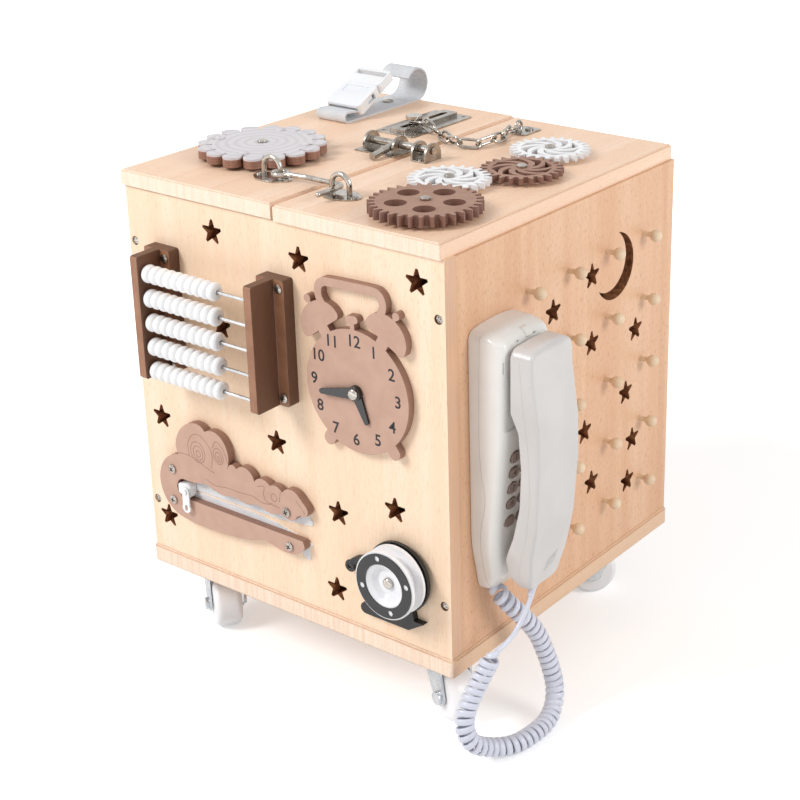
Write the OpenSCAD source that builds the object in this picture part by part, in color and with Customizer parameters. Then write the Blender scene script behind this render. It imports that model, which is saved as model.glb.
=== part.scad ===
// Wooden busy board: a plywood activity cube on casters, with a hinged lid,
// toys on the front, a corded play phone and a peg board on the right side,
// and latches, gears and a strap with a buckle on top.
// X runs along the front, Y from front to back, Z up. The origin is on the floor
// below the middle of the cabinet.

/* [Cabinet] */
// Width of the cabinet, along the front
cab_w = 300; // [290:1:330]
// Depth of the cabinet, front to back
cab_d = 290; // [286:1:320]
// Height of the four panels
panel_h = 300; // [295:1:330]
// Thickness of the four panels
panel_t = 12; // [9:0.5:15]
// Thickness of the base board
base_t = 15; // [12:0.5:20]
// How far the base board stands out past the panels
base_lip = 2; // [0:0.5:6]
// Thickness of the two top leaves
leaf_t = 12; // [10:0.5:16]
// How far the top leaves stop short of, or pass, the panels
leaf_inset = 2; // [1:0.5:4]
// Gap below the lid
lid_gap = 1; // [0.5:0.25:2]
// Gap between the lid and the fixed top leaf
split_gap = 2; // [1:0.25:4]
// Width of the lid, from the left panel's face to the middle of the gap
lid_w = 150; // [148:1:156]
// Diameter of the holes drilled for the panel screws' heads
screw_d = 7; // [5:0.5:8]

/* [Cut-outs] */
// Tip radius of a star cut-out
star_r = 9.6; // [8:0.5:13]
// Outer radius of the crescent moon cut-out
moon_r = 26; // [18:1:28]

/* [Threading pegs] */
// Distance between neighbouring pegs
peg_pitch = 51.5; // [48:0.5:52]
// Diameter of a peg's shank
peg_d = 4; // [3.5:0.5:6]
// Length of a peg's shank outside the panel
peg_len = 9; // [6:0.5:14]
// Diameter of a peg's round head
peg_head_d = 9.5; // [7:0.5:11]

/* [Abacus] */
// Length of the two upright brackets
abacus_h = 96; // [92:1:100]
// How far the brackets stand out from the panel
abacus_reach = 33; // [30:1:38]
// Distance between the inner faces of the brackets
abacus_span = 106; // [96:1:108]
// Distance between neighbouring rods
row_pitch = 19.1; // [17:0.1:20]
// Diameter of a rod
rod_d = 2.6; // [2:0.1:3]
// Diameter of a bead
bead_d = 14; // [12:0.5:15]
// Length of a bead along its rod
bead_len = 7; // [6:0.25:7.25]
// Beads on each rod
bead_count = 10; // [6:1:10]

/* [Clock] */
// Radius of the clock's face
clock_r = 46; // [40:0.5:47]
// Thickness of the toy plates on the front panel
toy_t = 6; // [4:0.5:8]
// Length of the minute hand
minute_len = 30; // [22:1:32]
// Length of the hour hand
hour_len = 22; // [16:1:26]

/* [Crocodile] */
// Radius of the crocodile's round cheek
cheek_r = 27.5; // [25:0.5:28.5]
// Width of the mouth between the jaws
mouth_gap = 16; // [15:0.5:17]
// Width of the zip's slider
slider_w = 10; // [8:0.5:11]

/* [Reel] */
// Radius of the reel's back disc
reel_r = 27; // [27:0.5:31]
// Radius of the spool's flanges
spool_r = 26; // [22:0.5:26]
// Length of the spool between its outer faces
spool_len = 14; // [12:0.5:18]

/* [Phone] */
// Height of the phone's wall base
phone_h = 212; // [205:1:216]
// Width of the phone's wall base
phone_w = 56; // [52:1:60]
// Depth of the wall base in front of the panel
phone_depth = 30; // [27:0.5:33]
// Length of the handset
handset_len = 190; // [180:1:192]
// Width of the handset
handset_w = 50; // [44:1:54]

/* [Top gears] */
// Size of the gear teeth: pitch diameter over number of teeth
gear_module = 2.35; // [2.2:0.01:2.4]
// Teeth on the large gear
big_teeth = 32; // [30:1:33]
// Teeth on each small gear
small_teeth = 24; // [22:1:25]
// Thickness of the large gear
big_gear_t = 7.5; // [6.5:0.5:11]
// Thickness of the small gears
small_gear_t = 4.5; // [4:0.5:8]
// Outer radius of the scalloped wheel
scallop_r = 49; // [44:0.5:50]
// Lobes on the scalloped wheel
scallop_lobes = 16; // [12:1:18]
// Thickness of the scalloped wheel's dark layers
scallop_t = 6; // [4:0.5:9]
// Thickness of the scalloped wheel's pale cap
scallop_cap_t = 1.6; // [1:0.1:3]

/* [Latches] */
// Diameter of the cabin hook's wire and of the two staples
hook_wire = 4; // [3:0.25:4.25]
// Distance between the two staples
hook_reach = 68; // [64:1:74]
// Diameter of the bolt's rod
bolt_d = 6; // [5:0.5:7]
// Thickness of the sheet metal in the latches
sheet_t = 1.2; // [0.8:0.1:1.5]
// Length of the chain guard's slotted plate
track_len = 78; // [72:1:84]
// Width of the chain guard's slotted plate
track_w = 38; // [34:1:42]
// Width of the slot that the chain's knob runs in
slot_w = 5; // [4.5:0.25:6]
// Diameter of the chain's wire
chain_wire = 2.3; // [1.8:0.1:2.4]

/* [Strap] */
// Width of the webbing
strap_w = 30; // [26:1:32]
// Thickness of the webbing
strap_t = 1.6; // [1.2:0.1:2]
// Length of the buckle's socket
socket_len = 28; // [24:1:30]
// How far the plug shows out of the socket
plug_len = 20; // [16:1:22]

/* [Casters] */
// Height of a caster, from the floor to the base board
caster_h = 56; // [54:0.5:66]
// Diameter of a wheel
wheel_d = 40; // [36:1:42]
// Width of a wheel
wheel_w = 22; // [18:1:24]
// Distance from a caster's swivel axis to its wheel's axle
caster_trail = 12; // [10:0.5:14]
// Distance from the panels' outer faces to the casters' swivel axes
caster_inset = 35; // [32:1:44]

/* [Hidden] */

$fn = 48;

// Heights above the floor
panel_z = caster_h + base_t;          // lower edge of the panels
rim_z = panel_z + panel_h;            // upper edge of the panels
top_z = rim_z + leaf_t;               // upper face of the fixed leaf
lid_z = top_z + lid_gap;              // upper face of the lid
// The cabinet's faces
left_x = -cab_w / 2;
right_x = cab_w / 2;
front_y = -cab_d / 2;
back_y = cab_d / 2;
split_x = left_x + lid_w;             // middle of the gap between the leaves
clear = 0.4;                          // running clearance of the moving pieces

// ---------- drawing planes ----------
// On the front panel: x from the panel's left edge, y up from its lower edge
module on_front(from, thick) {
  translate([left_x, front_y - from, panel_z])
    rotate([90, 0, 0]) linear_extrude(thick) children();
}
// On the right panel: x from the panel's front edge towards the back, y up
module on_right(from, thick) {
  translate([right_x + from, front_y, panel_z])
    rotate([90, 0, 90]) linear_extrude(thick) children();
}
// A solid with its axis along the front panel's outward normal
module front_axis(x, z, from) {
  translate([left_x + x, front_y - from, panel_z + z]) rotate([90, 0, 0]) children();
}
module right_axis(y, z, from) {
  translate([right_x + from, front_y + y, panel_z + z]) rotate([0, 90, 0]) children();
}

// ---------- shapes used more than once ----------
function circle_point(r, a) = [r * cos(a), r * sin(a)];

// Five-pointed star with blunt tips
module star() {
  tip = 6;            // half angle that the blunt tip covers, in degrees
  waist = 0.5;        // inner radius over tip radius
  polygon([for (i = [0:4]) each [
    circle_point(star_r, 90 + 72 * i - tip), circle_point(star_r, 90 + 72 * i + tip),
    circle_point(star_r * waist, 126 + 72 * i)]]);
}

// Round-ended bar between two points
module bar(a, b, w) {
  d = b - a;
  translate(a) circle(d = w);
  translate(b) circle(d = w);
  translate(a) rotate(atan2(d[1], d[0])) translate([0, -w / 2]) square([norm(d), w]);
}
// Band with round ends along a smooth row of points
function side_of(p, i, w) = let (t = heading(p, i)) p[i] + w / 2 * [-t[1], t[0]];
function end_cap(p, i, w, turn) = let (t = heading(p, i), a = atan2(t[1], t[0]) + turn)
  [for (k = [1:7]) p[i] + circle_point(w / 2, a + 180 * k / 8)];
module band(p, w) {
  n = len(p) - 1;
  polygon(concat([for (i = [0:n]) side_of(p, i, -w)], end_cap(p, n, w, -90),
                 [for (i = [n:-1:0]) side_of(p, i, w)], end_cap(p, 0, w, 90)));
}

// Rounded rectangle, centred
module rounded(size, r) {
  square([size[0] - 2 * r, size[1]], center = true);
  square([size[0], size[1] - 2 * r], center = true);
  for (x = [-1, 1], y = [-1, 1]) translate([x * (size[0] / 2 - r), y * (size[1] / 2 - r)]) circle(r);
}

// Pan-head screw, its head's seat at z = 0 and its shank down
module screw(head_d, shank_len) {
  head_h = head_d * 0.3;
  intersection() {
    cylinder(d = head_d, h = head_h);
    translate([0, 0, head_h - head_d]) sphere(head_d);
  }
  translate([0, 0, -shank_len]) cylinder(d = head_d * 0.45, h = shank_len);
}

// Round rod between two points in space
module rod(a, b, d) {
  v = b - a;
  translate(a) rotate([0, acos(v[2] / norm(v)), atan2(v[1], v[0])]) cylinder(d = d, h = norm(v));
}

// Bent wire from the origin along X: each step is a length, a turn to the left and its radius
module bent_wire(steps, d) {
  length = steps[0][0];
  turn = steps[0][1];
  r = steps[0][2];
  if (len(steps) == 1) {
    rotate([0, 90, 0]) pin(d, length);
  } else {
    rotate([0, 90, 0]) cylinder(d = d, h = length);
    translate([length, sign(turn) * r, 0]) {
      rotate(turn > 0 ? -90 : 90 + turn) rotate_extrude(angle = abs(turn)) translate([r, 0]) circle(d = d);
      rotate(turn) translate([0, -sign(turn) * r, 0]) bent_wire([for (i = [1:len(steps) - 1]) steps[i]], d);
    }
  }
}
// Pin along Z with a round end
module pin(d, length) {
  rotate_extrude() intersection() {
    square([d / 2, length]);
    union() {
      square([d / 2, length - d / 2]);
      translate([0, length - d / 2]) circle(d / 2);
    }
  }
}

// Tube swept along points: one ring of sides at each point, square to the path
function unit(v) = v / norm(v);
function heading(p, i) = unit(p[min(i + 1, len(p) - 1)] - p[max(i - 1, 0)]);
function carry(n, t) = unit(n - (n * t) * t);
function frames(p, n0) = [for (i = 0, n = carry(n0, heading(p, 0)); i < len(p);
                               i = i + 1, n = i < len(p) ? carry(n, heading(p, i)) : n) n];
module tube(p, d, sides, n0 = [1, 0.2, 0.1]) {
  n = frames(p, n0);
  rings = len(p);
  points = [for (i = [0:rings - 1]) let (t = heading(p, i), b = cross(t, n[i]))
            for (k = [0:sides - 1]) p[i] + d / 2 * (cos(360 * k / sides) * n[i] + sin(360 * k / sides) * b)];
  polyhedron(points, concat(
    [[for (k = [sides - 1:-1:0]) k]],
    [for (i = [0:rings - 2], k = [0:sides - 1])
      [i * sides + k, i * sides + (k + 1) % sides, (i + 1) * sides + (k + 1) % sides, (i + 1) * sides + k]],
    [[for (k = [0:sides - 1]) (rings - 1) * sides + k]]));
}
// Smooth path through points, steps to each span
function spline(p, steps) = concat([for (i = [0:len(p) - 2], s = [0:steps - 1])
  let (u = s / steps, a = p[max(i - 1, 0)], b = p[i], c = p[i + 1], d = p[min(i + 2, len(p) - 1)])
  0.5 * (2 * b + (c - a) * u + (2 * a - 5 * b + 4 * c - d) * pow(u, 2)
         + (3 * b - a - 3 * c + d) * pow(u, 3))], [p[len(p) - 1]]);

// ---------- cabinet ----------
// Star centres on the front and right panels, and the screws down the panels' edges
FRONT_STARS = [[88, 280], [171.5, 275.5], [276.5, 280.5], [19, 117], [140.5, 127.5], [18, 30.5],
               [198, 86.5], [251.5, 105], [193.5, 22.5], [91, 208]];
RIGHT_STARS = [[125, 225.5], [175.5, 238], [176, 184.5], [238, 176], [225.5, 127], [167.5, 115],
               [236.5, 83], [178, 68.5], [230.5, 48.5]];
moon_at = [207, 236.5];
moon_bite = 10.8;                       // how far the moon's inner circle is moved
screw_heights = [42, panel_h - 42];
edge_screw_x = [panel_t / 2, cab_w - panel_t / 2];

module base_board() {
  edge = 1.5;                         // rounding of the upper and lower edges
  w = cab_w + 2 * base_lip;
  d = cab_d + 2 * base_lip;
  color("burlywood") translate([0, 0, caster_h]) {
    linear_extrude(base_t) rounded([w - 2 * edge, d - 2 * edge], 2.5);
    translate([0, 0, edge]) linear_extrude(base_t - 2 * edge) rounded([w, d], 4);
  }
}

module front_panel() {
  color("wheat") difference() {
    translate([left_x, front_y, panel_z]) cube([cab_w, panel_t, panel_h]);
    on_front(-panel_t - 1, panel_t + 2) for (s = FRONT_STARS) translate(s) star();
    toy_screw_holes(concat(BRACKET_SCREWS, CROC_SCREWS), -toy_screw_bite - 1, toy_screw_bite + 2);
    panel_screw_holes(front = true);
  }
}

module back_panel() {
  color("wheat") difference() {
    translate([left_x, back_y - panel_t, panel_z]) cube([cab_w, panel_t, panel_h]);
    panel_screw_holes(front = false);
  }
}

// Places its children at the four screws of the front or the back panel, axis outwards
module at_panel_screws(front) {
  for (x = edge_screw_x, z = screw_heights)
    translate([left_x + x, front ? front_y : back_y, panel_z + z]) rotate([front ? 90 : -90, 0, 0]) children();
}
module panel_screw_holes(front) {
  at_panel_screws(front) translate([0, 0, -screw_d * 0.3]) cylinder(d = screw_d, h = screw_d);
  at_panel_screws(front) translate([0, 0, -panel_t - 1]) cylinder(d = screw_d * 0.45, h = panel_t + 2);
}

side_d = cab_d - 2 * panel_t;         // the side panels stand between front and back

// The side panels, drilled in their edges for the screws through front and back
module side_panel(x) {
  screw_bite = 20;
  difference() {
    translate([x, front_y + panel_t, panel_z]) cube([panel_t, side_d, panel_h]);
    for (z = screw_heights, y = [front_y + panel_t, back_y - panel_t])
      translate([x + panel_t / 2, y, panel_z + z]) rotate([90, 0, 0])
        cylinder(d = screw_d * 0.45, h = 2 * screw_bite, center = true);
  }
}
module left_panel() { color("wheat") side_panel(left_x); }

module right_panel() {
  color("wheat") difference() {
    side_panel(right_x - panel_t);
    on_right(-panel_t - 1, panel_t + 2) {
      for (s = RIGHT_STARS) translate(s) star();
      translate(moon_at) rotate(-34) crescent();
    }
    at_pegs() translate([0, 0, -peg_bite]) cylinder(d = peg_d, h = peg_bite + 1);
  }
}
module crescent() {
  difference() {
    circle(moon_r);
    translate([-moon_bite, 0]) circle(moon_r * 0.92);
  }
}

// The top's two leaves
leaf_front = front_y - leaf_inset;
leaf_d = cab_d + leaf_inset - leaf_inset / 2;
leaf_edge = 1.2;                      // bevel round the upper edges
module leaf(x0, x1, z) {
  translate([x0, leaf_front, z]) {
    cube([x1 - x0, leaf_d, leaf_t - leaf_edge]);
    translate([leaf_edge, leaf_edge, 0]) cube([x1 - x0 - 2 * leaf_edge, leaf_d - 2 * leaf_edge, leaf_t]);
  }
}
module fixed_top_leaf() {
  color("wheat") difference() {
    leaf(split_x + split_gap / 2, right_x - leaf_inset, rim_z);
    for (g = GEARS) translate([g[0], g[1], rim_z + leaf_t / 2]) cylinder(d = axle_d, h = leaf_t);
  }
}
module lid_leaf() {
  color("wheat") difference() {
    leaf(left_x - leaf_inset, split_x - split_gap / 2, rim_z + lid_gap);
    translate([scallop_at[0], scallop_at[1], rim_z + leaf_t / 2]) cylinder(d = axle_d, h = leaf_t);
  }
}

toy_screw_d = 7;                      // heads of the screws in the brackets and the crocodile
toy_screw_bite = 6;                   // how deep these screws go into the panel
module toy_screw_holes(places, from, thick) {
  for (p = places) front_axis(p[0], p[1], from) cylinder(d = toy_screw_d * 0.45 + clear, h = thick);
}
module cabinet_screws() {
  color("silver") {
    for (f = [true, false]) at_panel_screws(f) translate([0, 0, -screw_d * 0.3]) screw(screw_d - clear, panel_t + 8);
    for (p = BRACKET_SCREWS) front_axis(p[0], p[1], bracket_foot_t) screw(toy_screw_d, bracket_foot_t + toy_screw_bite);
    for (p = CROC_SCREWS) front_axis(p[0], p[1], croc_from + toy_t) screw(toy_screw_d, croc_from + toy_t + toy_screw_bite);
  }
}

// ---------- threading pegs on the right panel ----------
peg_first = [93, 45.5];               // lowest peg nearest the front
peg_columns = 4;
peg_rows = 5;
peg_bite = 8;                         // depth of a peg's hole
module at_pegs() {
  for (c = [0:peg_columns - 1], r = [0:peg_rows - 1])
    right_axis(peg_first[0] + c * peg_pitch, peg_first[1] + r * peg_pitch, 0) children();
}
module threading_pegs() {
  head_r = peg_head_d / 2;
  color("burlywood") at_pegs() {
    translate([0, 0, -peg_bite]) cylinder(d = peg_d, h = peg_bite + peg_len);
    intersection() {
      translate([0, 0, peg_len + head_r * 0.35]) sphere(head_r);
      translate([0, 0, peg_len - head_r * 0.4]) cylinder(r = head_r, h = 2 * head_r);
    }
  }
}

// ---------- abacus ----------
bracket_foot_w = 26;                  // width of a bracket's foot on the panel
bracket_foot_t = 10;                  // thickness of the foot
bracket_t = 7;                        // thickness of the upright
abacus_z = 165;                       // lower end of the brackets
abacus_left = 42.5;                   // inner face of the left bracket
abacus_right = abacus_left + abacus_span;
rod_y = 25;                           // rods' distance from the panel
first_row = 14;                        // the top rod below the brackets' upper end
row_z = [for (i = [0:4]) abacus_z + abacus_h - first_row - i * row_pitch];
bead_gap = 0.3;
BRACKET_X = [abacus_left - bracket_t, abacus_right];
BRACKET_SCREWS = [for (x = BRACKET_X, z = [6.5, abacus_h - 6.5])
  [x + bracket_t + (bracket_foot_w - bracket_t) / 4, abacus_z + z]];

module abacus_brackets() {
  corner = 2;
  color("sienna") difference() {
    for (x = BRACKET_X) {
      on_front(0, bracket_foot_t)
        translate([x + bracket_t / 2, abacus_z + abacus_h / 2]) rounded([bracket_foot_w, abacus_h], corner);
      translate([left_x + x, front_y, panel_z + abacus_z])
        rotate([90, 0, 90]) linear_extrude(bracket_t)
          translate([-abacus_reach / 2, abacus_h / 2]) rounded([abacus_reach, abacus_h], corner);
    }
    for (z = row_z) translate([left_x + abacus_left - rod_bite, front_y - rod_y, panel_z + z])
      rotate([0, 90, 0]) cylinder(d = rod_d, h = abacus_span + 2 * rod_bite);
    toy_screw_holes(BRACKET_SCREWS, -1, bracket_foot_t + 2);
  }
}
rod_bite = 5;                         // depth of a rod's hole in its bracket
module abacus_rods() {
  color("silver") for (z = row_z)
    translate([left_x + abacus_left - rod_bite, front_y - rod_y, panel_z + z])
      rotate([0, 90, 0]) cylinder(d = rod_d, h = abacus_span + 2 * rod_bite);
}

// Bead: a barrel with round edges and a bore for its rod
module bead() {
  round_r = bead_len / 2;
  web = bead_len - 0.6;
  bore = rod_d / 2 + clear;
  rotate_extrude() difference() {
    union() {
      translate([bead_d / 2 - round_r, 0]) circle(round_r);
      translate([bore, -web / 2]) square([bead_d / 2 - round_r - bore, web]);
    }
    translate([-bead_d, -bead_len]) square([bead_d + bore, 2 * bead_len]);
  }
}
module abacus_beads(row) {
  color("white") for (i = [0:bead_count - 1])
    translate([left_x + abacus_left + clear + bead_len / 2 + i * (bead_len + bead_gap),
               front_y - rod_y, panel_z + row_z[row - 1]]) rotate([0, 90, 0]) bead();
}

// ---------- clock ----------
clock_at = [225.5, 191];
clock_tilt = 2.5;
hand_bore = 5;
hand_t = 1.6;
BELL = [38, 20, 3.5];                  // a bell's width, height and the rounding at its flat side
module bell() {
  w = BELL[0];
  c = BELL[2];
  polygon(concat([for (a = [0:9:180]) [w / 2 * cos(a), c + (BELL[1] - c) * sin(a)]],
                 arc([c - w / 2, c], c, 200, 270, 3), arc([w / 2 - c, c], c, 270, 340, 3)));
}
module clock_face() {
  bell_turns = [32.5, -32.5];         // how far the bells lean from upright
  bell_from = 50.3;
  color("rosybrown") on_front(0, toy_t) translate(clock_at) rotate(clock_tilt) difference() {
    union() {
      circle(clock_r, $fn = 96);
      // handle
      band(spline([[-24, 58], [-28.6, 65], [-28.8, 72], [-25.5, 76], [-18, 77.3], [18, 77], [25.5, 75.4],
                   [28.4, 71], [28.2, 65], [24, 58]], 4), 6.4);
      // bells, their necks and their knobs
      for (a = bell_turns) rotate(a) translate([0, bell_from]) {
        bell();
        translate([-5, -8]) square([10, 10]);
        translate([-1.5, BELL[1] - 1]) square([3, 4]);
        translate([0, BELL[1] + 3.6]) circle(3);
      }
      // hammer
      translate([-2, clock_r - 2]) square([4, 8]);
      band([[-3, clock_r + 7], [2.6, clock_r + 7.3]], 5.8);
      // feet
      for (a = [-125.3, -52.5]) band([circle_point(clock_r - 8, a), circle_point(clock_r + 4, a)], 10);
    }
    circle(d = hand_bore);
  }
}
// Hands: a round boss and a tapered blade, one above the other on one spindle
module hand(length, angle, from) {
  front_axis(clock_at[0], clock_at[1], from) rotate(angle) {
    cylinder(d = 11, h = hand_t);
    linear_extrude(hand_t) polygon(concat([[0, -4.4]], arc([length, 0], 2, -86, 86, 8), [[0, 4.4]]));
  }
}
minute_angle = 189.5;
hour_angle = -66;
module clock_hour_hand() {
  color("black") difference() {
    hand(hour_len, hour_angle, toy_t + clear);
    front_axis(clock_at[0], clock_at[1], toy_t) cylinder(d = hand_bore, h = 2 * hand_t + clear);
  }
}
// The minute hand carries the spindle and its domed cap
module clock_minute_hand() {
  from = toy_t + hand_t + 2 * clear;
  color("black") {
    hand(minute_len, minute_angle, from);
    front_axis(clock_at[0], clock_at[1], clear) cylinder(d = hand_bore - 2 * clear, h = from - clear + hand_t / 2);
    front_axis(clock_at[0], clock_at[1], from + hand_t) screw(8, hand_t / 2);
  }
}

// ---------- crocodile with the zip in its mouth ----------
croc_from = 1.4;                      // the tapes run behind the plate
cheek = [46.5, 66.3];
mouth_z = 65;                         // middle of the mouth
mouth_back = 37.7;                    // the mouth's round end in the cheek
CROC_SCREWS = [[34.3, 79], [33.2, 52.3], [153.6, 77.2], [154.6, 49]];
module oval(w, h) { polygon([for (a = [0:9:351]) [w / 2 * cos(a), h / 2 * sin(a)]]); }
// The mouth opens past the snout, wavy above and nearly straight below
module mouth() {
  upper = mouth_z + mouth_gap / 2;
  lower = mouth_z - mouth_gap / 2;
  back = [mouth_back + mouth_gap / 2, mouth_z];
  lip = spline([[175, upper + 7], [170, upper + 4.6], [166, upper + 4.5], [162.5, upper - 0.5], [155.5, upper - 2],
                [147, upper + 0.4], [137, upper - 2.4], [124, upper + 0.9], [113, upper - 1.4], [98, upper + 0.2],
                [86, upper - 1.6], [69, upper + 2.3], [58, upper + 0.3], [back[0], upper]], 4);
  polygon(concat([[back[0], lower], [190, lower], [190, upper + 12]], lip, arc(back, mouth_gap / 2, 95, 265, 12)));
}
module crocodile_plate() {
  color("rosybrown") difference() {
    on_front(croc_from, toy_t) difference() {
      union() {
        translate(cheek) circle(cheek_r, $fn = 72);
        // eyes
        translate([57.2, 107]) rotate(47) oval(41, 28.4);
        translate([80.5, 104.5]) oval(31.2, 37);
        // upper jaw, the bumps of the back, the chin and the nose
        polygon([[46, 60], [156, 60], [160, 80], [156, 92], [112, 93], [96, 96], [44, 96]]);
        translate([99.5, 95.5]) circle(4.8);
        translate([111.5, 91.5]) circle(10.2);
        translate([130, 87]) circle(10.2);
        translate([142.5, 86.5]) circle(9);
        translate([158.5, 86.5]) circle(10.3);
        translate([155.5, 79.5]) circle(8.8);
        translate([168.8, 82.7]) circle(5.7);
        polygon([[156, 78], [168.5, 76], [173.2, 86.3], [164.6, 94.8], [156, 92]]);
        // lower jaw
        polygon(concat(spline([[40, 41], [54, 37.6], [81, 38], [108, 40.4], [127, 45.6], [134, 45.2], [148, 42.5],
                               [160, 44.2], [167.5, 48.8], [169.4, 53], [166, 60]], 4), [[44, 62]]));
      }
      mouth();
    }
    toy_screw_holes(CROC_SCREWS, croc_from - 1, toy_t + 2);
  }
}
// The zip's two tapes, spread into a V by the slider
tape_t = 1;
tape_split = [46, 62.3];              // where the teeth part
module zipper_tapes() {
  rest = 0.7;                         // half the gap between the closed rows of teeth
  color("white") difference() {
    on_front(0, tape_t) {
      polygon([tape_split + [0, rest], [98, 63.4], [140, 64.2], [150, 65.6], [172.6, 68.6], [172.8, 72], [170.5, 74],
               [170.5, 79], [166, 83], [160, 86], [150, 80], [60, 78], tape_split + [-5, 9]]);
      polygon([tape_split - [5, 7], [60, 52], [158, 46], [160.5, 43], [166.2, 38.2], [168.3, 38.9], [169, 50], [172, 52.7],
               [159.3, 55.4], [149.4, 57.3], [139.4, 59.6], [119, 61.4], tape_split - [0, rest]]);
    }
    toy_screw_holes(CROC_SCREWS, -1, tape_t + 2);
  }
}
slider_at = [mouth_back + 7.3, mouth_z - 1];
pull_at = slider_at + [5, 1];
slider_t = 6;
pull_pin_d = 2;
pull_from = croc_from + toy_t + 2.1 + clear;   // the pull hangs in front of the plate's screws
module zipper_slider() {
  color("white") {
    on_front(tape_t + clear, slider_t) translate(slider_at) {
      rounded([12, slider_w], 3);
      translate([3, 0]) rounded([9, slider_w + 1.6], 3);
    }
    front_axis(pull_at[0], pull_at[1], tape_t + clear + slider_t)
      cylinder(d = pull_pin_d, h = pull_from + 2.6 - tape_t - clear - slider_t);
    front_axis(pull_at[0], pull_at[1], pull_from + 1.2 + clear) cylinder(d = pull_pin_d + 1.8, h = 1);
  }
}
module zipper_pull() {
  pull_len = 20;
  color("white") on_front(pull_from, 1.2) translate(pull_at) difference() {
    union() {
      bar([0, 0], [0, -pull_len + 6], 7);
      translate([0, -pull_len + 6]) circle(4.2);
    }
    circle(d = pull_pin_d + 2 * clear);
    translate([0, -pull_len + 6]) rounded([3, 5], 1.4);
  }
}

// ---------- reel ----------
reel_at = [257.7, 56.6];
reel_rim = 1;                         // thickness of the back disc's rim
reel_from = 4;
reel_back_t = 2;
reel_rim_h = 0.6;
reel_axle_d = 6;
spool_gap = 2.2;                        // between the back disc and the spool
spool_from = reel_from + reel_back_t + spool_gap;
dish_depth = 5.5;                     // depth of the spool's dished front
module reel_frame() {
  color("dimgray") {
    difference() {
      on_front(reel_from, reel_back_t + reel_rim_h) translate(reel_at) circle(reel_r, $fn = 96);
      on_front(reel_from + reel_back_t, 4) translate(reel_at) circle(reel_r - reel_rim, $fn = 96);
    }
    // foot with a slanted end, its stem and the line guide's arm
    on_front(0, reel_from + reel_back_t / 2) {
      polygon(concat(arc([224.5, 19.3], 4.5, 90, 270, 8), [[264.5, 14.8], [278.5, 23.8]]));
      translate(reel_at) rotate(-78) translate([10, -5]) square([28, 10]);
      band(spline([[212, 51.5], [217, 56], [234, 61]], 3), 5);
    }
    front_axis(211, 49.5, reel_from) rotate_extrude() translate([3.2, 0]) circle(1.6);
    // axle and its nut
    front_axis(reel_at[0], reel_at[1], reel_from) {
      cylinder(d = reel_axle_d, h = spool_from - reel_from + spool_len - dish_depth + clear);
      cylinder(d = reel_axle_d + 5, h = spool_from - reel_from - clear / 2);
    }
  }
  color("silver") front_axis(reel_at[0], reel_at[1], spool_from + spool_len - dish_depth + clear) screw(8, 1);
}
// Spool: two flanges, a hub, a dished front and a dark ring with four dots
module reel_spool() {
  flange_t = 2.4;
  hub_r = spool_r - 7;
  dish_r = 15.7;
  ring_r = spool_r - 1.2;
  front_axis(reel_at[0], reel_at[1], spool_from) {
    color("whitesmoke") difference() {
      union() {
        cylinder(r = spool_r, h = flange_t);
        cylinder(r = hub_r, h = spool_len);
        translate([0, 0, spool_len - flange_t]) cylinder(r = spool_r, h = flange_t);
      }
      translate([0, 0, spool_len - dish_depth]) cylinder(r1 = dish_r - 6, r2 = dish_r, h = dish_depth + 0.01);
      translate([0, 0, -1]) cylinder(d = reel_axle_d + 2 * clear, h = spool_len);
    }
    color("dimgray") translate([0, 0, spool_len]) difference() {
      cylinder(r = ring_r, h = 0.8);
      translate([0, 0, -1]) cylinder(r = dish_r + 1, h = 3);
      for (a = [15:90:360]) rotate(a) translate([(ring_r + dish_r + 1) / 2, 0, -1]) cylinder(d = 4.4, h = 3);
    }
  }
}

// ---------- phone ----------
phone_bottom = 37;
phone_left = 23;
phone_mid = phone_left + phone_w / 2;
phone_top = phone_bottom + phone_h;
phone_lip = 10;                        // the handset's upper end below the base's
handset_top = phone_top - phone_lip;
handset_bottom = handset_top - handset_len;
handset_back = phone_depth + 1.6;      // the handset's ear end stands just off the base
// The base's front leans back from here downwards: points out from the panel and up
face_high = [phone_depth, phone_top - 78];
face_low = [phone_depth - 9, phone_bottom + 47.5];
key_lean = atan((face_high[0] - face_low[0]) / (face_high[1] - face_low[1]));
key_travel = 1.2;
key_size = [10, 7.5];
key_well = 4;                          // depth of a key's well
KEY_ROWS = [-18, -30.2, -42.4, -54.6, -69];      // down the leaning front from its upper edge
KEY_COLUMNS = [-13, 0, 13];

// Front outline, seen along -X: straight sides, rounded corners and a slightly arched top
module phone_outline(w, low, high, crown, r_top, r_low) {
  half = w / 2 - r_top;
  crown_r = (pow(half, 2) + pow(crown, 2)) / (2 * crown);
  spread = asin(half / crown_r);
  translate([phone_mid, 0]) polygon(concat(
    arc([r_low - w / 2, low + r_low], r_low, 180, 270, 8),
    arc([w / 2 - r_low, low + r_low], r_low, 270, 360, 8),
    arc([half, high - crown - r_top], r_top, 0, 90 - spread, 5),
    arc([0, high - crown_r], crown_r, 90 - spread, 90 + spread, 8),
    arc([-half, high - crown - r_top], r_top, 90 + spread, 180, 5)));
}
// Solid with a front outline and a side outline: the second child is drawn with depth across and height up
module profiled(depth) {
  intersection() {
    on_right(0, depth) children(0);
    translate([right_x, front_y + cab_d, panel_z]) rotate([90, 0, 0]) linear_extrude(cab_d) children(1);
  }
}
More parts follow.
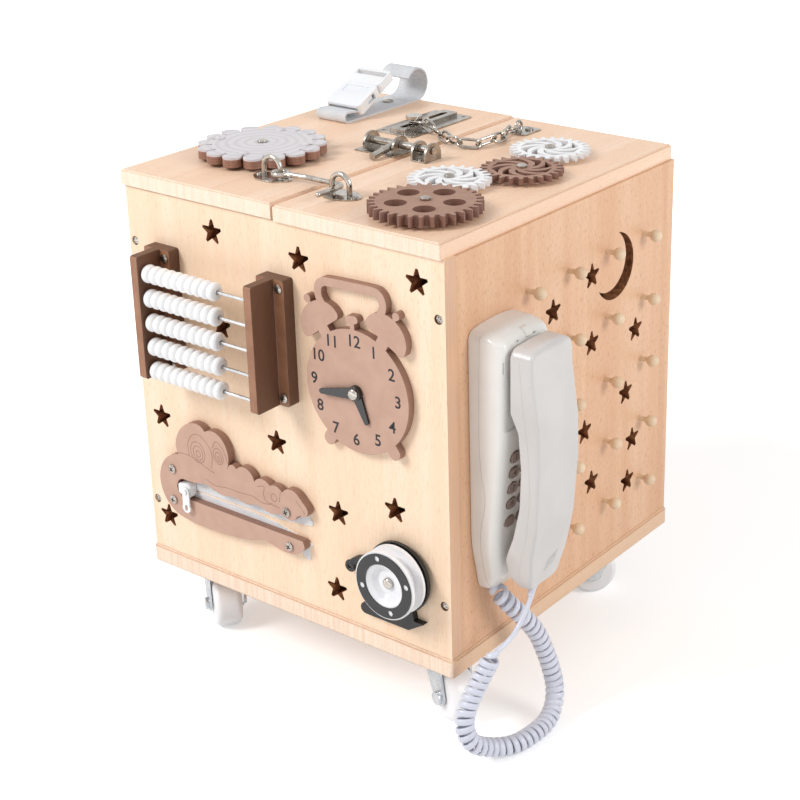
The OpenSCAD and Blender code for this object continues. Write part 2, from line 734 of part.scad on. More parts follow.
// Each key's place: X across the phone, Y up its leaning front, Z out of it
module at_keys(from) {
  for (y = KEY_COLUMNS, z = KEY_ROWS)
    translate([right_x + face_high[0], front_y + phone_mid + y, panel_z + face_high[1]]) rotate([0, key_lean, 0])
      translate([from, 0, z]) rotate([90, 0, 90]) children();
}
module phone_base() {
  d = phone_depth;
  low = phone_bottom;
  high = phone_top;
  color("linen") difference() {
    profiled(d + 5) {
      phone_outline(phone_w, low, high, 5, 8, 21);
      polygon(concat(
        [[0, low], [d - 20, low + 6], [d - 12, low + 17], [d - 8.4, low + 32], face_low, face_high,
         [d + 0.6, high - 48], [d + 0.8, high - 17], [d - 0.6, high - 11]],
        arc([d - 19, high - 20], 20, 32, 90, 6), [[0, high - 1]]));
    }
    // ear cup's seat
    right_axis(phone_mid, handset_top - 28, d - 3) cylinder(r = 19, h = 20);
    // wells of the keys
    at_keys(-key_well) linear_extrude(2 * key_well) rounded(key_size + [2 * clear, 2 * clear], 3.6);
  }
}
module phone_keys() {
  color("rosybrown") at_keys(key_travel + clear - key_well) linear_extrude(key_well - key_travel + 1) rounded(key_size, 3.4);
}
module phone_handset() {
  b = handset_back;
  low = handset_bottom;
  high = handset_top;
  color("ivory") {
    profiled(b + 30) {
      phone_outline(handset_w, low, high, 3, 7, 20);
      polygon(concat(
        spline([[b + 4, low], [b + 11, low + 3], [b + 15, low + 20], [b + 19, low + 39], [b + 23, low + 73],
                [b + 24.4, low + 110], [b + 23.4, high - 55], [b + 20, high - 28], [b + 18.6, high - 8]], 3),
        [[b + 16.4, high - 1.6], [b + 12, high], [b + 3, high - 1], [b, high - 4]],
        spline([[b, high - 52], [b + 5.4, high - 59], [b + 8.2, high - 68], [b + 8.8, high - 95], [b + 6.2, high - 127],
                [b + 0.6, high - 146], [b - 7, high - 164.5], [b - 6.4, high - 174], [b - 2, low + 7]], 3)));
    }
    // ear cup that sits in the base
    right_axis(phone_mid, handset_top - 28, b - 2.6) cylinder(r = 17.5, h = 6);
  }
}
// The curly cord: a fat tube of the coil's outer size, and the straight lead into the handset.
// Points are distances from the right panel, its front edge and the panel's lower edge.
CORD_COIL = [[9, 37, 47], [12, 39, 41], [16, 45, 31], [22, 55, 17], [27, 65, 1], [31, 70.5, -16],
             [34.5, 73.5, -32], [37.5, 74, -46.5], [40.5, 68, -58], [43.5, 55, -63.3], [44.3, 37, -63.6],
             [41, 18, -63.6], [33, 2, -60.5], [27, -12, -52], [23, -16, -41], [21.5, -14, -30],
             [22, -8, -19.5], [24, -2, -9.5], [27, 4, 2], [30, 8, 11]];
CORD_LEAD = [[30, 8, 11], [31.5, 12, 15], [32.5, 19, 15], [33, 26, 17], [34, 33, 23], [35, 39, 31],
             [36, 44.6, 39.6], [36.5, 48, 47.9]];
coil_d = 14.4;
lead_d = 4;
function from_panel(p) = [for (q = p) [right_x + q[0], front_y + q[1], panel_z + q[2]]];
module phone_cord() {
  color("lightsteelblue") {
    tube(spline(from_panel(CORD_COIL), 3), coil_d, 10);
    tube(spline(from_panel(CORD_LEAD), 2), lead_d, 8);
  }
}

// ---------- gears on the fixed leaf ----------
axle_d = 5;
axle_head_d = 7.5;
gear_lift = 2.5;                         // gap between a gear and the leaf
pitch_big = gear_module * big_teeth / 2;
pitch_small = gear_module * small_teeth / 2;
backlash = 0.5;
mesh_long = pitch_big + pitch_small + 0.3;
mesh_short = 2 * pitch_small + 0.3;
// Centres in the leaf's plane: each gear meshes with the one before it
gear_1_at = [split_x + 101, front_y + 43];
gear_2_at = gear_1_at + circle_point(mesh_long, 113.5);
gear_3_at = gear_2_at + circle_point(mesh_short, 59.5);
gear_4_at = gear_3_at + circle_point(mesh_short, 103.5);
GEARS = [gear_1_at, gear_2_at, gear_3_at, gear_4_at];

// Involute flank: half the angle of a tooth at radius r
function involute(base_r, r) = r <= base_r ? 0 : let (a = acos(base_r / r)) tan(a) * 180 / PI - a;
function half_tooth(n, r) =
  let (pr = gear_module * n / 2, base_r = pr * cos(20))
  90 / n - backlash / 2 / pr * 180 / PI + involute(base_r, pr) - involute(base_r, max(r, base_r));
module gear_outline(n) {
  pr = gear_module * n / 2;
  radii = [pr - 1.25 * gear_module, pr * cos(20) + 0.05, pr, pr + 0.55 * gear_module, pr + gear_module];
  polygon([for (i = [0:n - 1]) each concat(
    [for (r = radii) circle_point(r, 360 / n * i - half_tooth(n, r))],
    [for (k = [len(radii) - 1:-1:0]) circle_point(radii[k], 360 / n * i + half_tooth(n, radii[k]))])]);
}
module gear_1_large() {
  hole_ring = 21;
  color("rosybrown") translate([gear_1_at[0], gear_1_at[1], top_z + gear_lift]) linear_extrude(big_gear_t) difference() {
    rotate(gear_phase[0]) gear_outline(big_teeth);
    circle(d = axle_d + 2 * clear);
    for (a = [18:72:360]) translate(circle_point(hole_ring, a)) circle(7.8);
  }
}
// Pinwheel window between the hub and the rim
module window() {
  inner = 8;
  outer = pitch_small - 6;
  turn = 42;
  steps = 4;
  polygon(concat(
    [for (i = [0:steps]) circle_point(inner + (outer - inner) * i / steps, turn * i / steps)],
    [for (i = [steps:-1:0]) circle_point(inner + (outer - inner) * i / steps, turn * i / steps + 8 + 26 * i / steps)]));
}
module small_gear(i) {
  translate([GEARS[i][0], GEARS[i][1], top_z + gear_lift]) linear_extrude(small_gear_t) difference() {
    rotate(gear_phase[i]) gear_outline(small_teeth);
    circle(d = axle_d + 2 * clear);
    for (k = [0:7]) rotate(k * 45) window();
  }
}
// Turn of each gear so that a tooth meets a gap: t teeth, seen from angle a, next to a gear turned by p
function meshed(p, n1, n2, a) = a + 180 + 180 / n2 + (a - p) * n1 / n2;
gear_phase = let (
  p1 = 0,
  p2 = meshed(p1, big_teeth, small_teeth, 113.5),
  p3 = meshed(p2, small_teeth, small_teeth, 59.5),
  p4 = meshed(p3, small_teeth, small_teeth, 103.5)) [p1, p2, p3, p4];
module gear_2() { color("white") small_gear(1); }
module gear_3() { color("rosybrown") small_gear(2); }
module gear_4() { color("white") small_gear(3); }

// Shoulder screws that the four gears turn on
module gear_axles() {
  color("silver") for (i = [0:3]) translate([GEARS[i][0], GEARS[i][1], 0]) {
    head_z = top_z + gear_lift + (i == 0 ? big_gear_t : small_gear_t) + clear;
    translate([0, 0, rim_z + leaf_t / 2]) cylinder(d = axle_d, h = head_z - rim_z - leaf_t / 2);
    translate([0, 0, head_z]) screw(axle_head_d, 1);
    translate([0, 0, top_z]) cylinder(d = axle_d + 5, h = gear_lift - clear);
  }
}

// ---------- scalloped wheel on the lid ----------
scallop_from_gap = 90;
scallop_from_front = 86;
scallop_at = [split_x - scallop_from_gap, front_y + scallop_from_front];
notch = 4;                              // how far the notches reach in past the lobes' middles
module scalloped_gear() {
  lobe_r = scallop_r * sin(180 / scallop_lobes) * 0.76;
  lobe_ring = scallop_r - lobe_r;
  module outline() {
    circle(lobe_ring - notch, $fn = 96);
    for (i = [0:scallop_lobes - 1]) translate(circle_point(lobe_ring, (i + 0.5) * 360 / scallop_lobes)) circle(lobe_r);
  }
  translate([scallop_at[0], scallop_at[1], lid_z + gear_lift]) {
    color("sienna") linear_extrude(scallop_t) difference() {
      outline();
      circle(d = axle_d + 2 * clear);
    }
    color("lightgray") translate([0, 0, scallop_t]) linear_extrude(scallop_cap_t) difference() {
      outline();
      circle(d = axle_d + 2 * clear);
    }
    color("silver") for (a = [20:90:360]) rotate(a) translate([scallop_r * 0.71, 0, scallop_t + scallop_cap_t]) screw(7, 3);
  }
}
module lid_screws() {
  head_z = lid_z + gear_lift + scallop_t + scallop_cap_t + clear;
  color("silver") {
    translate([scallop_at[0], scallop_at[1], 0]) {
      translate([0, 0, rim_z + leaf_t / 2]) cylinder(d = axle_d, h = head_z - rim_z - leaf_t / 2);
      translate([0, 0, lid_z]) cylinder(d = axle_d + 5, h = gear_lift - clear);
      translate([0, 0, head_z]) screw(axle_head_d, 1);
    }
    translate([strap_x, strap_screw_y, lid_z + strap_t]) screw(strap_screw_d, strap_t);
  }
}

// ---------- hinges along the left edge ----------
knuckle_d = 5;
hinge_x = left_x - knuckle_d / 2 - leaf_inset - 0.5;
hinge_z = rim_z + lid_gap / 2;
hinge_len = 40;
HINGE_Y = [front_y + 60, back_y - 60];
hinge_leaf_t = 1.2;
// Butt hinge: one leaf on the panel's outer face, one on the lid's edge, three knuckles
module hinge_leaves_fixed() {
  color("silver") for (y = HINGE_Y) {
    translate([hinge_x, y - hinge_len / 2, hinge_z]) rotate([-90, 0, 0]) {
      cylinder(d = 2.4, h = hinge_len);
      for (s = [0, 2]) translate([0, 0, hinge_len / 3 * s]) cylinder(d = knuckle_d, h = hinge_len / 3 - clear);
    }
    for (s = [0, 2]) translate([hinge_x, y - hinge_len / 2 + hinge_len / 3 * s, hinge_z - 3])
      cube([left_x - hinge_x, hinge_len / 3 - clear, hinge_leaf_t]);
    translate([left_x - hinge_leaf_t, y - hinge_len / 2, rim_z - 22]) cube([hinge_leaf_t, hinge_len - clear, 22 - 1.3]);
  }
}
module hinge_leaves_lid() {
  edge_x = left_x - leaf_inset;
  color("silver") for (y = HINGE_Y) difference() {
    union() {
      translate([hinge_x, y - hinge_len / 6 + clear / 2, hinge_z]) rotate([-90, 0, 0])
        cylinder(d = knuckle_d, h = hinge_len / 3 - clear * 2);
      translate([edge_x - hinge_leaf_t, y - hinge_len / 6 + clear / 2, hinge_z + 0.5])
        cube([hinge_leaf_t, hinge_len / 3 - clear * 2, leaf_t - 2.5]);
    }
    translate([hinge_x, y - hinge_len, hinge_z]) rotate([-90, 0, 0]) cylinder(d = 2.4 + 2 * clear, h = 2 * hinge_len);
  }
}

// ---------- cabin hook and its two staples ----------
staple_r = 8;                           // to the middle of the staple's wire
staple_leg = 7;
eye_y = front_y + 44;
keeper_y = front_y + 41;
eye_x = split_x - 41;
keeper_x = eye_x + hook_reach;
hook_pivot = [eye_x + staple_r, eye_y];
hook_z = 6.2;                             // height of the hook's wire above the leaf
module staple_and_plate() {
  plate_len = 36;
  plate_w = 22;
  plate_round = (pow(plate_len / 2, 2) + pow(plate_w / 2, 2)) / plate_w;
  linear_extrude(sheet_t) intersection() {
    translate([0, plate_round - plate_w / 2]) circle(plate_round, $fn = 96);
    translate([0, plate_w / 2 - plate_round]) circle(plate_round, $fn = 96);
    circle(plate_len / 2 - 1.5);
  }
  for (s = [-1, 1]) translate([s * staple_r, 0, sheet_t / 2]) cylinder(d = hook_wire, h = staple_leg + sheet_t / 2);
  translate([0, 0, sheet_t + staple_leg]) rotate([90, 0, 0]) rotate_extrude(angle = 180) translate([staple_r, 0]) circle(d = hook_wire);
  for (s = [-1, 1]) translate([s * 13.2, 0, sheet_t]) screw(4.6, sheet_t);
}
module hook_eye_lid() { color("silver") translate([eye_x, eye_y, lid_z]) staple_and_plate(); }
module hook_eye_fixed() { color("silver") translate([keeper_x, keeper_y, top_z]) staple_and_plate(); }
module cabin_hook() {
  ring_r = staple_r - 2.4;
  back = keeper_y + staple_r - 2.4 - eye_y;   // the bar passes behind the keeper's near leg
  lead = 23;                                  // the bar reaches that line over this distance
  turn = atan(back / lead);
  bend_r = 5;
  bend_x = keeper_x - 2 - bend_r - hook_pivot[0];
  color("silver") translate([hook_pivot[0], hook_pivot[1], top_z + hook_z]) {
    rotate_extrude() translate([ring_r, 0]) circle(d = hook_wire - 0.4);
    rotate(turn) translate([ring_r * 0.9, 0, 0])
      bent_wire([[norm([lead, back]) - ring_r * 0.9, -turn, 8], [bend_x - lead - 8 * sin(turn), -90, bend_r], [24, 0, 0]], hook_wire);
  }
}

// ---------- barrel bolt ----------
bolt_y = front_y + 147.5;
bolt_lift = 8;                          // the rod's middle above the leaf
ear_t = 1.8;
ear_w = 19;
EAR_X = [split_x - 34, split_x - 6];
KEEPER_X = [split_x + 12.5, split_x + 25];
bolt_plate_w = 26;
module ear(x, base) {
  translate([x, bolt_y, base]) rotate([90, 0, 90]) linear_extrude(ear_t, center = true) difference() {
    union() {
      translate([-ear_w / 2, 0]) square([ear_w, bolt_lift - 3.5]);
      translate([0, bolt_lift - 3.5]) intersection() {
        circle(ear_w / 2);
        translate([-ear_w, -0.1]) square(2 * ear_w);
      }
    }
    translate([0, bolt_lift - (base - top_z)]) circle(d = bolt_d + 2 * clear);
  }
}
module bolt_plate() {
  x0 = EAR_X[0] - 6;
  x1 = split_x - split_gap / 2 - 0.5;
  color("silver") {
    translate([x0, bolt_y - bolt_plate_w / 2, lid_z]) cube([x1 - x0, bolt_plate_w, sheet_t]);
    for (x = EAR_X) ear(x, lid_z);
    for (x = EAR_X, s = [-1, 1]) translate([x + 4.4 * (x == EAR_X[0] ? -0.2 : -2.6) + 3, bolt_y + s * 10.4, lid_z + sheet_t]) screw(3.8, 1);
  }
}
module bolt_keeper() {
  color("silver") {
    translate([KEEPER_X[0] - ear_t / 2, bolt_y - ear_w / 2, top_z])
      cube([KEEPER_X[1] - KEEPER_X[0] + ear_t, ear_w, sheet_t]);
    for (x = KEEPER_X) ear(x, top_z);
    for (s = [-1, 1]) translate([(KEEPER_X[0] + KEEPER_X[1]) / 2, bolt_y + s * 7, top_z + sheet_t]) screw(3.8, 1);
  }
}
bolt_travel = 17;
pin_x = EAR_X[1] - ear_t / 2 - 3.4;
module bolt_rod() {
  rod_end = KEEPER_X[1] + 2.4;
  rod_start = EAR_X[0] - 4;
  pin_d = 5.6;
  pin_out = 28;
  pin_drop = lid_z + 3.2 - (top_z + bolt_lift);
  color("silver") {
    translate([rod_start, bolt_y, top_z + bolt_lift]) rotate([0, 90, 0]) cylinder(d = bolt_d, h = rod_end - rod_start);
    rod([pin_x, bolt_y, top_z + bolt_lift], [pin_x, bolt_y - pin_out, top_z + bolt_lift + pin_drop], pin_d);
  }
}

// ---------- chain guard ----------
track_at = [split_x - 44, front_y + 225];
track_rise = 4;                         // height of the raised middle of the plate
slot_len = 58;
knob_from_front = 212;
knob_y = front_y + knob_from_front;
module chain_track() {
  channel_w = 15;
  color("silver") translate([track_at[0], track_at[1], lid_z]) difference() {
    union() {
      linear_extrude(sheet_t) rounded([track_w, track_len], 2);
      linear_extrude(track_rise) rounded([channel_w, track_len - 8], 1.5);
    }
    // hollow below the raised middle, open at the slot
    translate([0, 0, -1]) linear_extrude(track_rise - sheet_t + 1) square([channel_w - 2 * sheet_t, track_len - 12], center = true);
    translate([0, 0, -1]) linear_extrude(track_rise + 2) bar([0, -slot_len / 2 + slot_w / 2], [0, slot_len / 2 - slot_w / 2], slot_w);
    for (x = [-1, 1], y = [-1, 1]) translate([x * (track_w / 2 - 5), y * (track_len / 2 - 5), -1]) cylinder(d = 3, h = 4);
  }
}
knob_top = track_rise + 6.5;
module chain_knob() {
  color("silver") translate([track_at[0], knob_y, lid_z]) {
    translate([0, 0, clear]) cylinder(d = 10, h = 1.8);
    cylinder(d = slot_w - 2 * clear, h = knob_top);
    translate([0, 0, knob_top - 2.4]) cylinder(d = 13, h = 2.4);
    translate([0, 0, track_rise + clear]) cylinder(d = 8, h = 0.7);
  }
}
// The chain lies across the gap in a loose bow
link_len = 15;                          // inside length
link_w = 5;                             // inside width
// Each link's middle, from the gap and the front edge and up from the lid, and its turns about X, Y and Z
CHAIN = [[-38.9, 211.2, 6.8, 0, -2, -9], [-25.4, 206.8, 5.96, 62, 12, -24], [-12, 200.9, 4.2, -44, 3, -25],
         [1, 194.3, 3.6, 40, 4, -31], [14.1, 188.4, 4.4, -51, -9, -19], [27.2, 190.3, 3.2, 41, 5, 32],
         [35.4, 201.4, 4.3, -56, -8, 70], [36.8, 215.5, 3.6, 43, 4, 96], [33.6, 229.5, 4.2, -75, -5, 106],
         [30.6, 243, 3.7, -23, 5, 96]];
module chain_link() {
  r = (link_w + chain_wire) / 2;
  half = (link_len - link_w) / 2;
  for (s = [-1, 1]) {
    translate([s * half, 0, 0]) rotate(s > 0 ? -90 : 90) rotate_extrude(angle = 180) translate([r, 0]) circle(d = chain_wire);
    translate([-half, s * r, 0]) rotate([0, 90, 0]) cylinder(d = chain_wire, h = 2 * half);
  }
}
module chain_links() {
  color("silver") for (link = CHAIN)
    translate([split_x + link[0], front_y + link[1], lid_z + link[2]])
      rotate([link[3], link[4], link[5]]) chain_link();
}
module chain_anchor() {
  at = [split_x + 32, front_y + 254];
  color("silver") translate([at[0], at[1], top_z]) {
    linear_extrude(sheet_t) translate([2, 1]) rounded([16, 24], 3);
    translate([-1, -3.5, 5.3]) rotate([0, 90, 0]) rotate_extrude() translate([4, 0]) circle(d = chain_wire);
    translate([3, 5, sheet_t]) screw(7, sheet_t);
  }
}

// ---------- strap with a side-release buckle ----------
strap_x = left_x + 38;                  // middle of the webbing
strap_y = front_y + 193;                // where the webbing turns back
strap_run = 93;                         // length of the flat run
curl_r = 4;
loop_r = 13.5;
loop_end = 150;                         // direction in which the loop's free end stops
strap_screw_d = 9;
buckle_tilt = 26;
buckle_start = [strap_y + 12, 2 * curl_r];     // in the plane of the strap: along Y and up from the lid
buckle_t = 9;
buckle_w = strap_w + 6;
// Path of the webbing in that plane, from the socket round the front, along the lid and over the back
function arc(c, r, a0, a1, steps) = [for (i = [0:steps]) c + circle_point(r, a0 + (a1 - a0) * i / steps)];
loop_at = [strap_y + strap_run - 2.5, loop_r + strap_t / 2];
strap_screw_y = strap_y + strap_run - 24;
function strap_path() = concat(
  [[strap_y + 11, 2 * curl_r - 0.4]],
  arc([strap_y + 0.5, curl_r + strap_t / 2], curl_r, 80, 270, 10),
  arc(loop_at, loop_r, -90, loop_end, 18));
module strap_webbing() {
  p = strap_path();
  color("silver") difference() {
    translate([strap_x - strap_w / 2, 0, lid_z]) rotate([90, 0, 90]) linear_extrude(strap_w)
      polygon(concat([for (i = [0:len(p) - 1]) side_of(p, i, -strap_t)],
                     [for (i = [len(p) - 1:-1:0]) side_of(p, i, strap_t)]));
    translate([strap_x, strap_screw_y, lid_z - 1]) cylinder(d = strap_screw_d * 0.45 + clear, h = strap_t + 2);
  }
}
// The buckle's own frame: X across, Y along it from the socket's end, Z out of its face
module on_buckle() {
  translate([strap_x, buckle_start[0], lid_z + buckle_start[1]]) rotate([buckle_tilt, 0, 0]) children();
}
module buckle_socket() {
  wall = 1.8;
  color("white") on_buckle() difference() {
    translate([0, socket_len / 2, 0]) linear_extrude(buckle_t, center = true) rounded([buckle_w, socket_len], 3);
    // throat for the plug's prongs, side windows for its arms and slot for the webbing
    translate([-(buckle_w - 2 * wall) / 2, 8, -buckle_t / 2 + wall]) cube([buckle_w - 2 * wall, socket_len, buckle_t - 2 * wall]);
    translate([-buckle_w, 12, -buckle_t / 2 + wall]) cube([2 * buckle_w, 9, buckle_t - 2 * wall]);
    translate([-(strap_w + 1) / 2, -1, -2]) cube([strap_w + 1, 6, 4]);
    // shallow field on its face
    translate([0, socket_len - 8, buckle_t / 2 - 0.7]) linear_extrude(2) rounded([buckle_w - 12, 9], 2);
  }
}
module buckle_plug() {
  arm_t = buckle_t - 2 * 1.8 - 2 * clear;
  body_len = plug_len;
  start = socket_len + clear;
  color("white") on_buckle() {
    difference() {
      translate([0, start + body_len / 2, 0]) linear_extrude(buckle_t - 1, center = true) rounded([buckle_w - 1, body_len], 3);
      // slot for the webbing
      translate([-(strap_w + 1) / 2, start + body_len - 8.5, -buckle_t]) cube([strap_w + 1, 5, 2 * buckle_t]);
    }
    // two sprung arms with shoulders and a middle guide
    for (s = [-1, 1]) {
      translate([s * (buckle_w / 2 - 6), start - 8, 0]) cube([3, 18, arm_t], center = true);
      translate([s * (buckle_w / 2 - 4.6), start - 12.2, 0]) cube([4.6, 7, arm_t], center = true);
    }
    translate([0, start - 7, 0]) cube([6, 16, arm_t], center = true);
  }
}

// ---------- casters ----------
// Swivel axes: front left, front right, back right, back left, and the way each one trails
CASTER_SIGNS = [[-1, -1], [1, -1], [1, 1], [-1, 1]];
CASTER_TRAILS = [-35, -18, 225, 160];
function caster_at(i) = [CASTER_SIGNS[i - 1][0] * (cab_w / 2 - caster_inset),
                         CASTER_SIGNS[i - 1][1] * (cab_d / 2 - caster_inset)];
plate_t = 2.4;
race_h = 5;
race_gap = 2;                           // the part of the race's height that turns with the fork
fork_t = 2;
wheel_axle_d = 6;
fork_gap = 1;                           // between wheel and fork leg
module caster_plates() {
  color("gainsboro") for (i = [1:4]) translate([caster_at(i)[0], caster_at(i)[1], caster_h - plate_t]) {
    linear_extrude(plate_t) difference() {
      rounded([38, 38], 4);
      for (x = [-1, 1], y = [-1, 1]) translate([x * 14, y * 14]) circle(d = 4);
    }
    translate([0, 0, race_gap - race_h]) cylinder(d = 24, h = race_h - race_gap);
    for (x = [-1, 1], y = [-1, 1]) translate([x * 14, y * 14, 0]) mirror([0, 0, 1]) screw(6.5, 0.4);
  }
}
module on_caster(i) {
  translate([caster_at(i)[0], caster_at(i)[1], 0]) rotate(CASTER_TRAILS[i - 1]) children();
}
module caster_fork(i) {
  crown_z = caster_h - plate_t - race_h;   // upper face of the fork's crown
  half = wheel_w / 2 + fork_gap;
  color("gainsboro") on_caster(i) {
    translate([0, 0, crown_z - fork_t]) linear_extrude(fork_t) {
      circle(d = 2 * half + 2 * fork_t + 2);
      translate([0, -half - fork_t]) square([13, 2 * half + 2 * fork_t]);
    }
    translate([0, 0, crown_z]) cylinder(d = 20, h = race_gap - clear);
    for (s = [0, 1]) mirror([0, s, 0]) translate([0, half + fork_t, 0]) rotate([90, 0, 0]) linear_extrude(fork_t) {
      polygon([[-10, crown_z], [caster_trail - 6.5, wheel_d / 2], [caster_trail + 6.5, wheel_d / 2], [13, crown_z]]);
      translate([caster_trail, wheel_d / 2]) circle(6.5);
    }
    translate([caster_trail, 0, wheel_d / 2]) rotate([90, 0, 0]) {
      cylinder(d = wheel_axle_d, h = 2 * half + 2 * fork_t + 2, center = true);
      translate([0, 0, half + fork_t]) cylinder(d = 10, h = 2.5);
      mirror([0, 0, 1]) translate([0, 0, half + fork_t]) cylinder(d = 10, h = 2.5, $fn = 6);
    }
  }
}
module caster_wheel(i) {
  tread_round = 5;
  color("white") on_caster(i) translate([caster_trail, 0, wheel_d / 2]) rotate([90, 0, 0])
    rotate_extrude() difference() {
      union() {
        translate([0, -wheel_w / 2]) square([wheel_d / 2 - tread_round, wheel_w]);
        translate([0, -wheel_w / 2 + tread_round]) square([wheel_d / 2, wheel_w - 2 * tread_round]);
        for (s = [-1, 1]) translate([wheel_d / 2 - tread_round, s * (wheel_w / 2 - tread_round)]) circle(tread_round);
      }
      translate([-1, -wheel_w]) square([wheel_axle_d / 2 + clear + 1, 2 * wheel_w]);
    }
}

base_board();
front_panel();
back_panel();
left_panel();
right_panel();
fixed_top_leaf();
cabinet_screws();
threading_pegs();
abacus_brackets();
abacus_rods();
clock_face();
crocodile_plate();
zipper_tapes();
reel_frame();
phone_base();
phone_cord();
caster_plates();
gear_axles();
hinge_leaves_fixed();
hook_eye_fixed();
bolt_keeper();
chain_anchor();
lid_leaf();
hinge_leaves_lid();
hook_eye_lid();
bolt_plate();
chain_track();
strap_webbing();
buckle_socket();
lid_screws();
abacus_beads(1);  // abacus_beads_row_1
abacus_beads(2);  // abacus_beads_row_2
abacus_beads(3);  // abacus_beads_row_3
abacus_beads(4);  // abacus_beads_row_4
abacus_beads(5);  // abacus_beads_row_5
clock_hour_hand();
clock_minute_hand();
zipper_slider();
zipper_pull();
reel_spool();
phone_handset();
phone_keys();
caster_fork(1);  // caster_fork_1
caster_fork(2);  // caster_fork_2
caster_fork(3);  // caster_fork_3
caster_fork(4);  // caster_fork_4
caster_wheel(1);  // caster_wheel_1
caster_wheel(2);  // caster_wheel_2
caster_wheel(3);  // caster_wheel_3
caster_wheel(4);  // caster_wheel_4
cabin_hook();
bolt_rod();
chain_knob();
chain_links();
scalloped_gear();
gear_1_large();
gear_2();
gear_3();
gear_4();
buckle_plug();
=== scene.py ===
"""Wooden busy board: materials, detail pieces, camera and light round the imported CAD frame."""

import math

import bmesh
import bpy
import numpy as np
from mathutils import Matrix, Vector


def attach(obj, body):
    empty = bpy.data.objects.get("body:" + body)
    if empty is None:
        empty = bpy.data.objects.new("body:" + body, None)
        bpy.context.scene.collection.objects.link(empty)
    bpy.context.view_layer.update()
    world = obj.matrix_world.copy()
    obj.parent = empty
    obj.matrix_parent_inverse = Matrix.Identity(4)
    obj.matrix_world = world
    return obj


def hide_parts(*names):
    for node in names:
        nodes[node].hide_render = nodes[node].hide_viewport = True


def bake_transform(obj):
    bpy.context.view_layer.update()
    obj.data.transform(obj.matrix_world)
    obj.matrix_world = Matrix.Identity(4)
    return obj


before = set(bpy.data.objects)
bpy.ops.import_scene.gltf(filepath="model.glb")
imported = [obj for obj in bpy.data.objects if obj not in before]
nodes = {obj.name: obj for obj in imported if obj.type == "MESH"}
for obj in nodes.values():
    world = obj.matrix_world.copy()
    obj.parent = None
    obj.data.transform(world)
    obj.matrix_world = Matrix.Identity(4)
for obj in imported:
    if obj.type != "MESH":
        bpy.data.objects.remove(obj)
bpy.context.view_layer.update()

MM = 0.001
# Edges of the cabinet in the row frame, in mm
LEFT_X, RIGHT_X, FRONT_Y, BACK_Y, PANEL_Z = -150, 150, -145, 145, 71
PLATE_OUT = 6                  # front face of the clock's plate
BRACKET_OUT = 10               # front faces of the abacus brackets' flanges


def front(x, z, out=0.0):
    """A point x from the front panel's left edge, z up its face and out of it, in mm."""
    return np.array([LEFT_X + x, FRONT_Y - out, PANEL_Z + z], float)


def right(out, y, z):
    """A point out of the right panel, y from its front edge and z up its face, in mm."""
    return np.array([RIGHT_X + out, FRONT_Y + y, PANEL_Z + z], float)


# ---------- camera and light ----------
CAMERA_AT = (0.8014, -0.9770, 0.7399)
CAMERA_YAW, CAMERA_PITCH, CAMERA_ROLL = 36.84, -21.21, -0.71
PICTURE_PX, FOCAL_PX, SENSOR_MM = 800, 1729.5, 36
CAMERA_SHIFT = -0.1


def make_camera():
    place = Vector(CAMERA_AT)
    yaw, pitch, roll = map(math.radians, (CAMERA_YAW, CAMERA_PITCH, CAMERA_ROLL))
    ahead = Vector((-math.sin(yaw) * math.cos(pitch), math.cos(yaw) * math.cos(pitch), math.sin(pitch)))
    side = ahead.cross(Vector((0, 0, 1))).normalized()
    up = side.cross(ahead)
    side, up = math.cos(roll) * side + math.sin(roll) * up, math.cos(roll) * up - math.sin(roll) * side
    data = bpy.data.cameras.new("photo_camera")
    data.sensor_width, data.lens = SENSOR_MM, FOCAL_PX * SENSOR_MM / PICTURE_PX
    data.shift_x, data.shift_y = CAMERA_SHIFT, CAMERA_SHIFT
    data.clip_start, data.clip_end = 0.05, 30
    cam = bpy.data.objects.new("photo_camera", data)
    turn = Matrix((side, up, -ahead)).transposed()
    cam.matrix_world = Matrix.Translation(place) @ turn.to_4x4()
    bpy.context.scene.collection.objects.link(cam)
    bpy.context.scene.camera = cam


def softbox(name, place, target, size, watts):
    data = bpy.data.lights.new(name, "AREA")
    data.shape, data.size, data.energy = "DISK", size, watts
    lamp = bpy.data.objects.new(name, data)
    lamp.location = place
    lamp.rotation_euler = (Vector(target) - Vector(place)).to_track_quat("-Z", "Y").to_euler()
    bpy.context.scene.collection.objects.link(lamp)


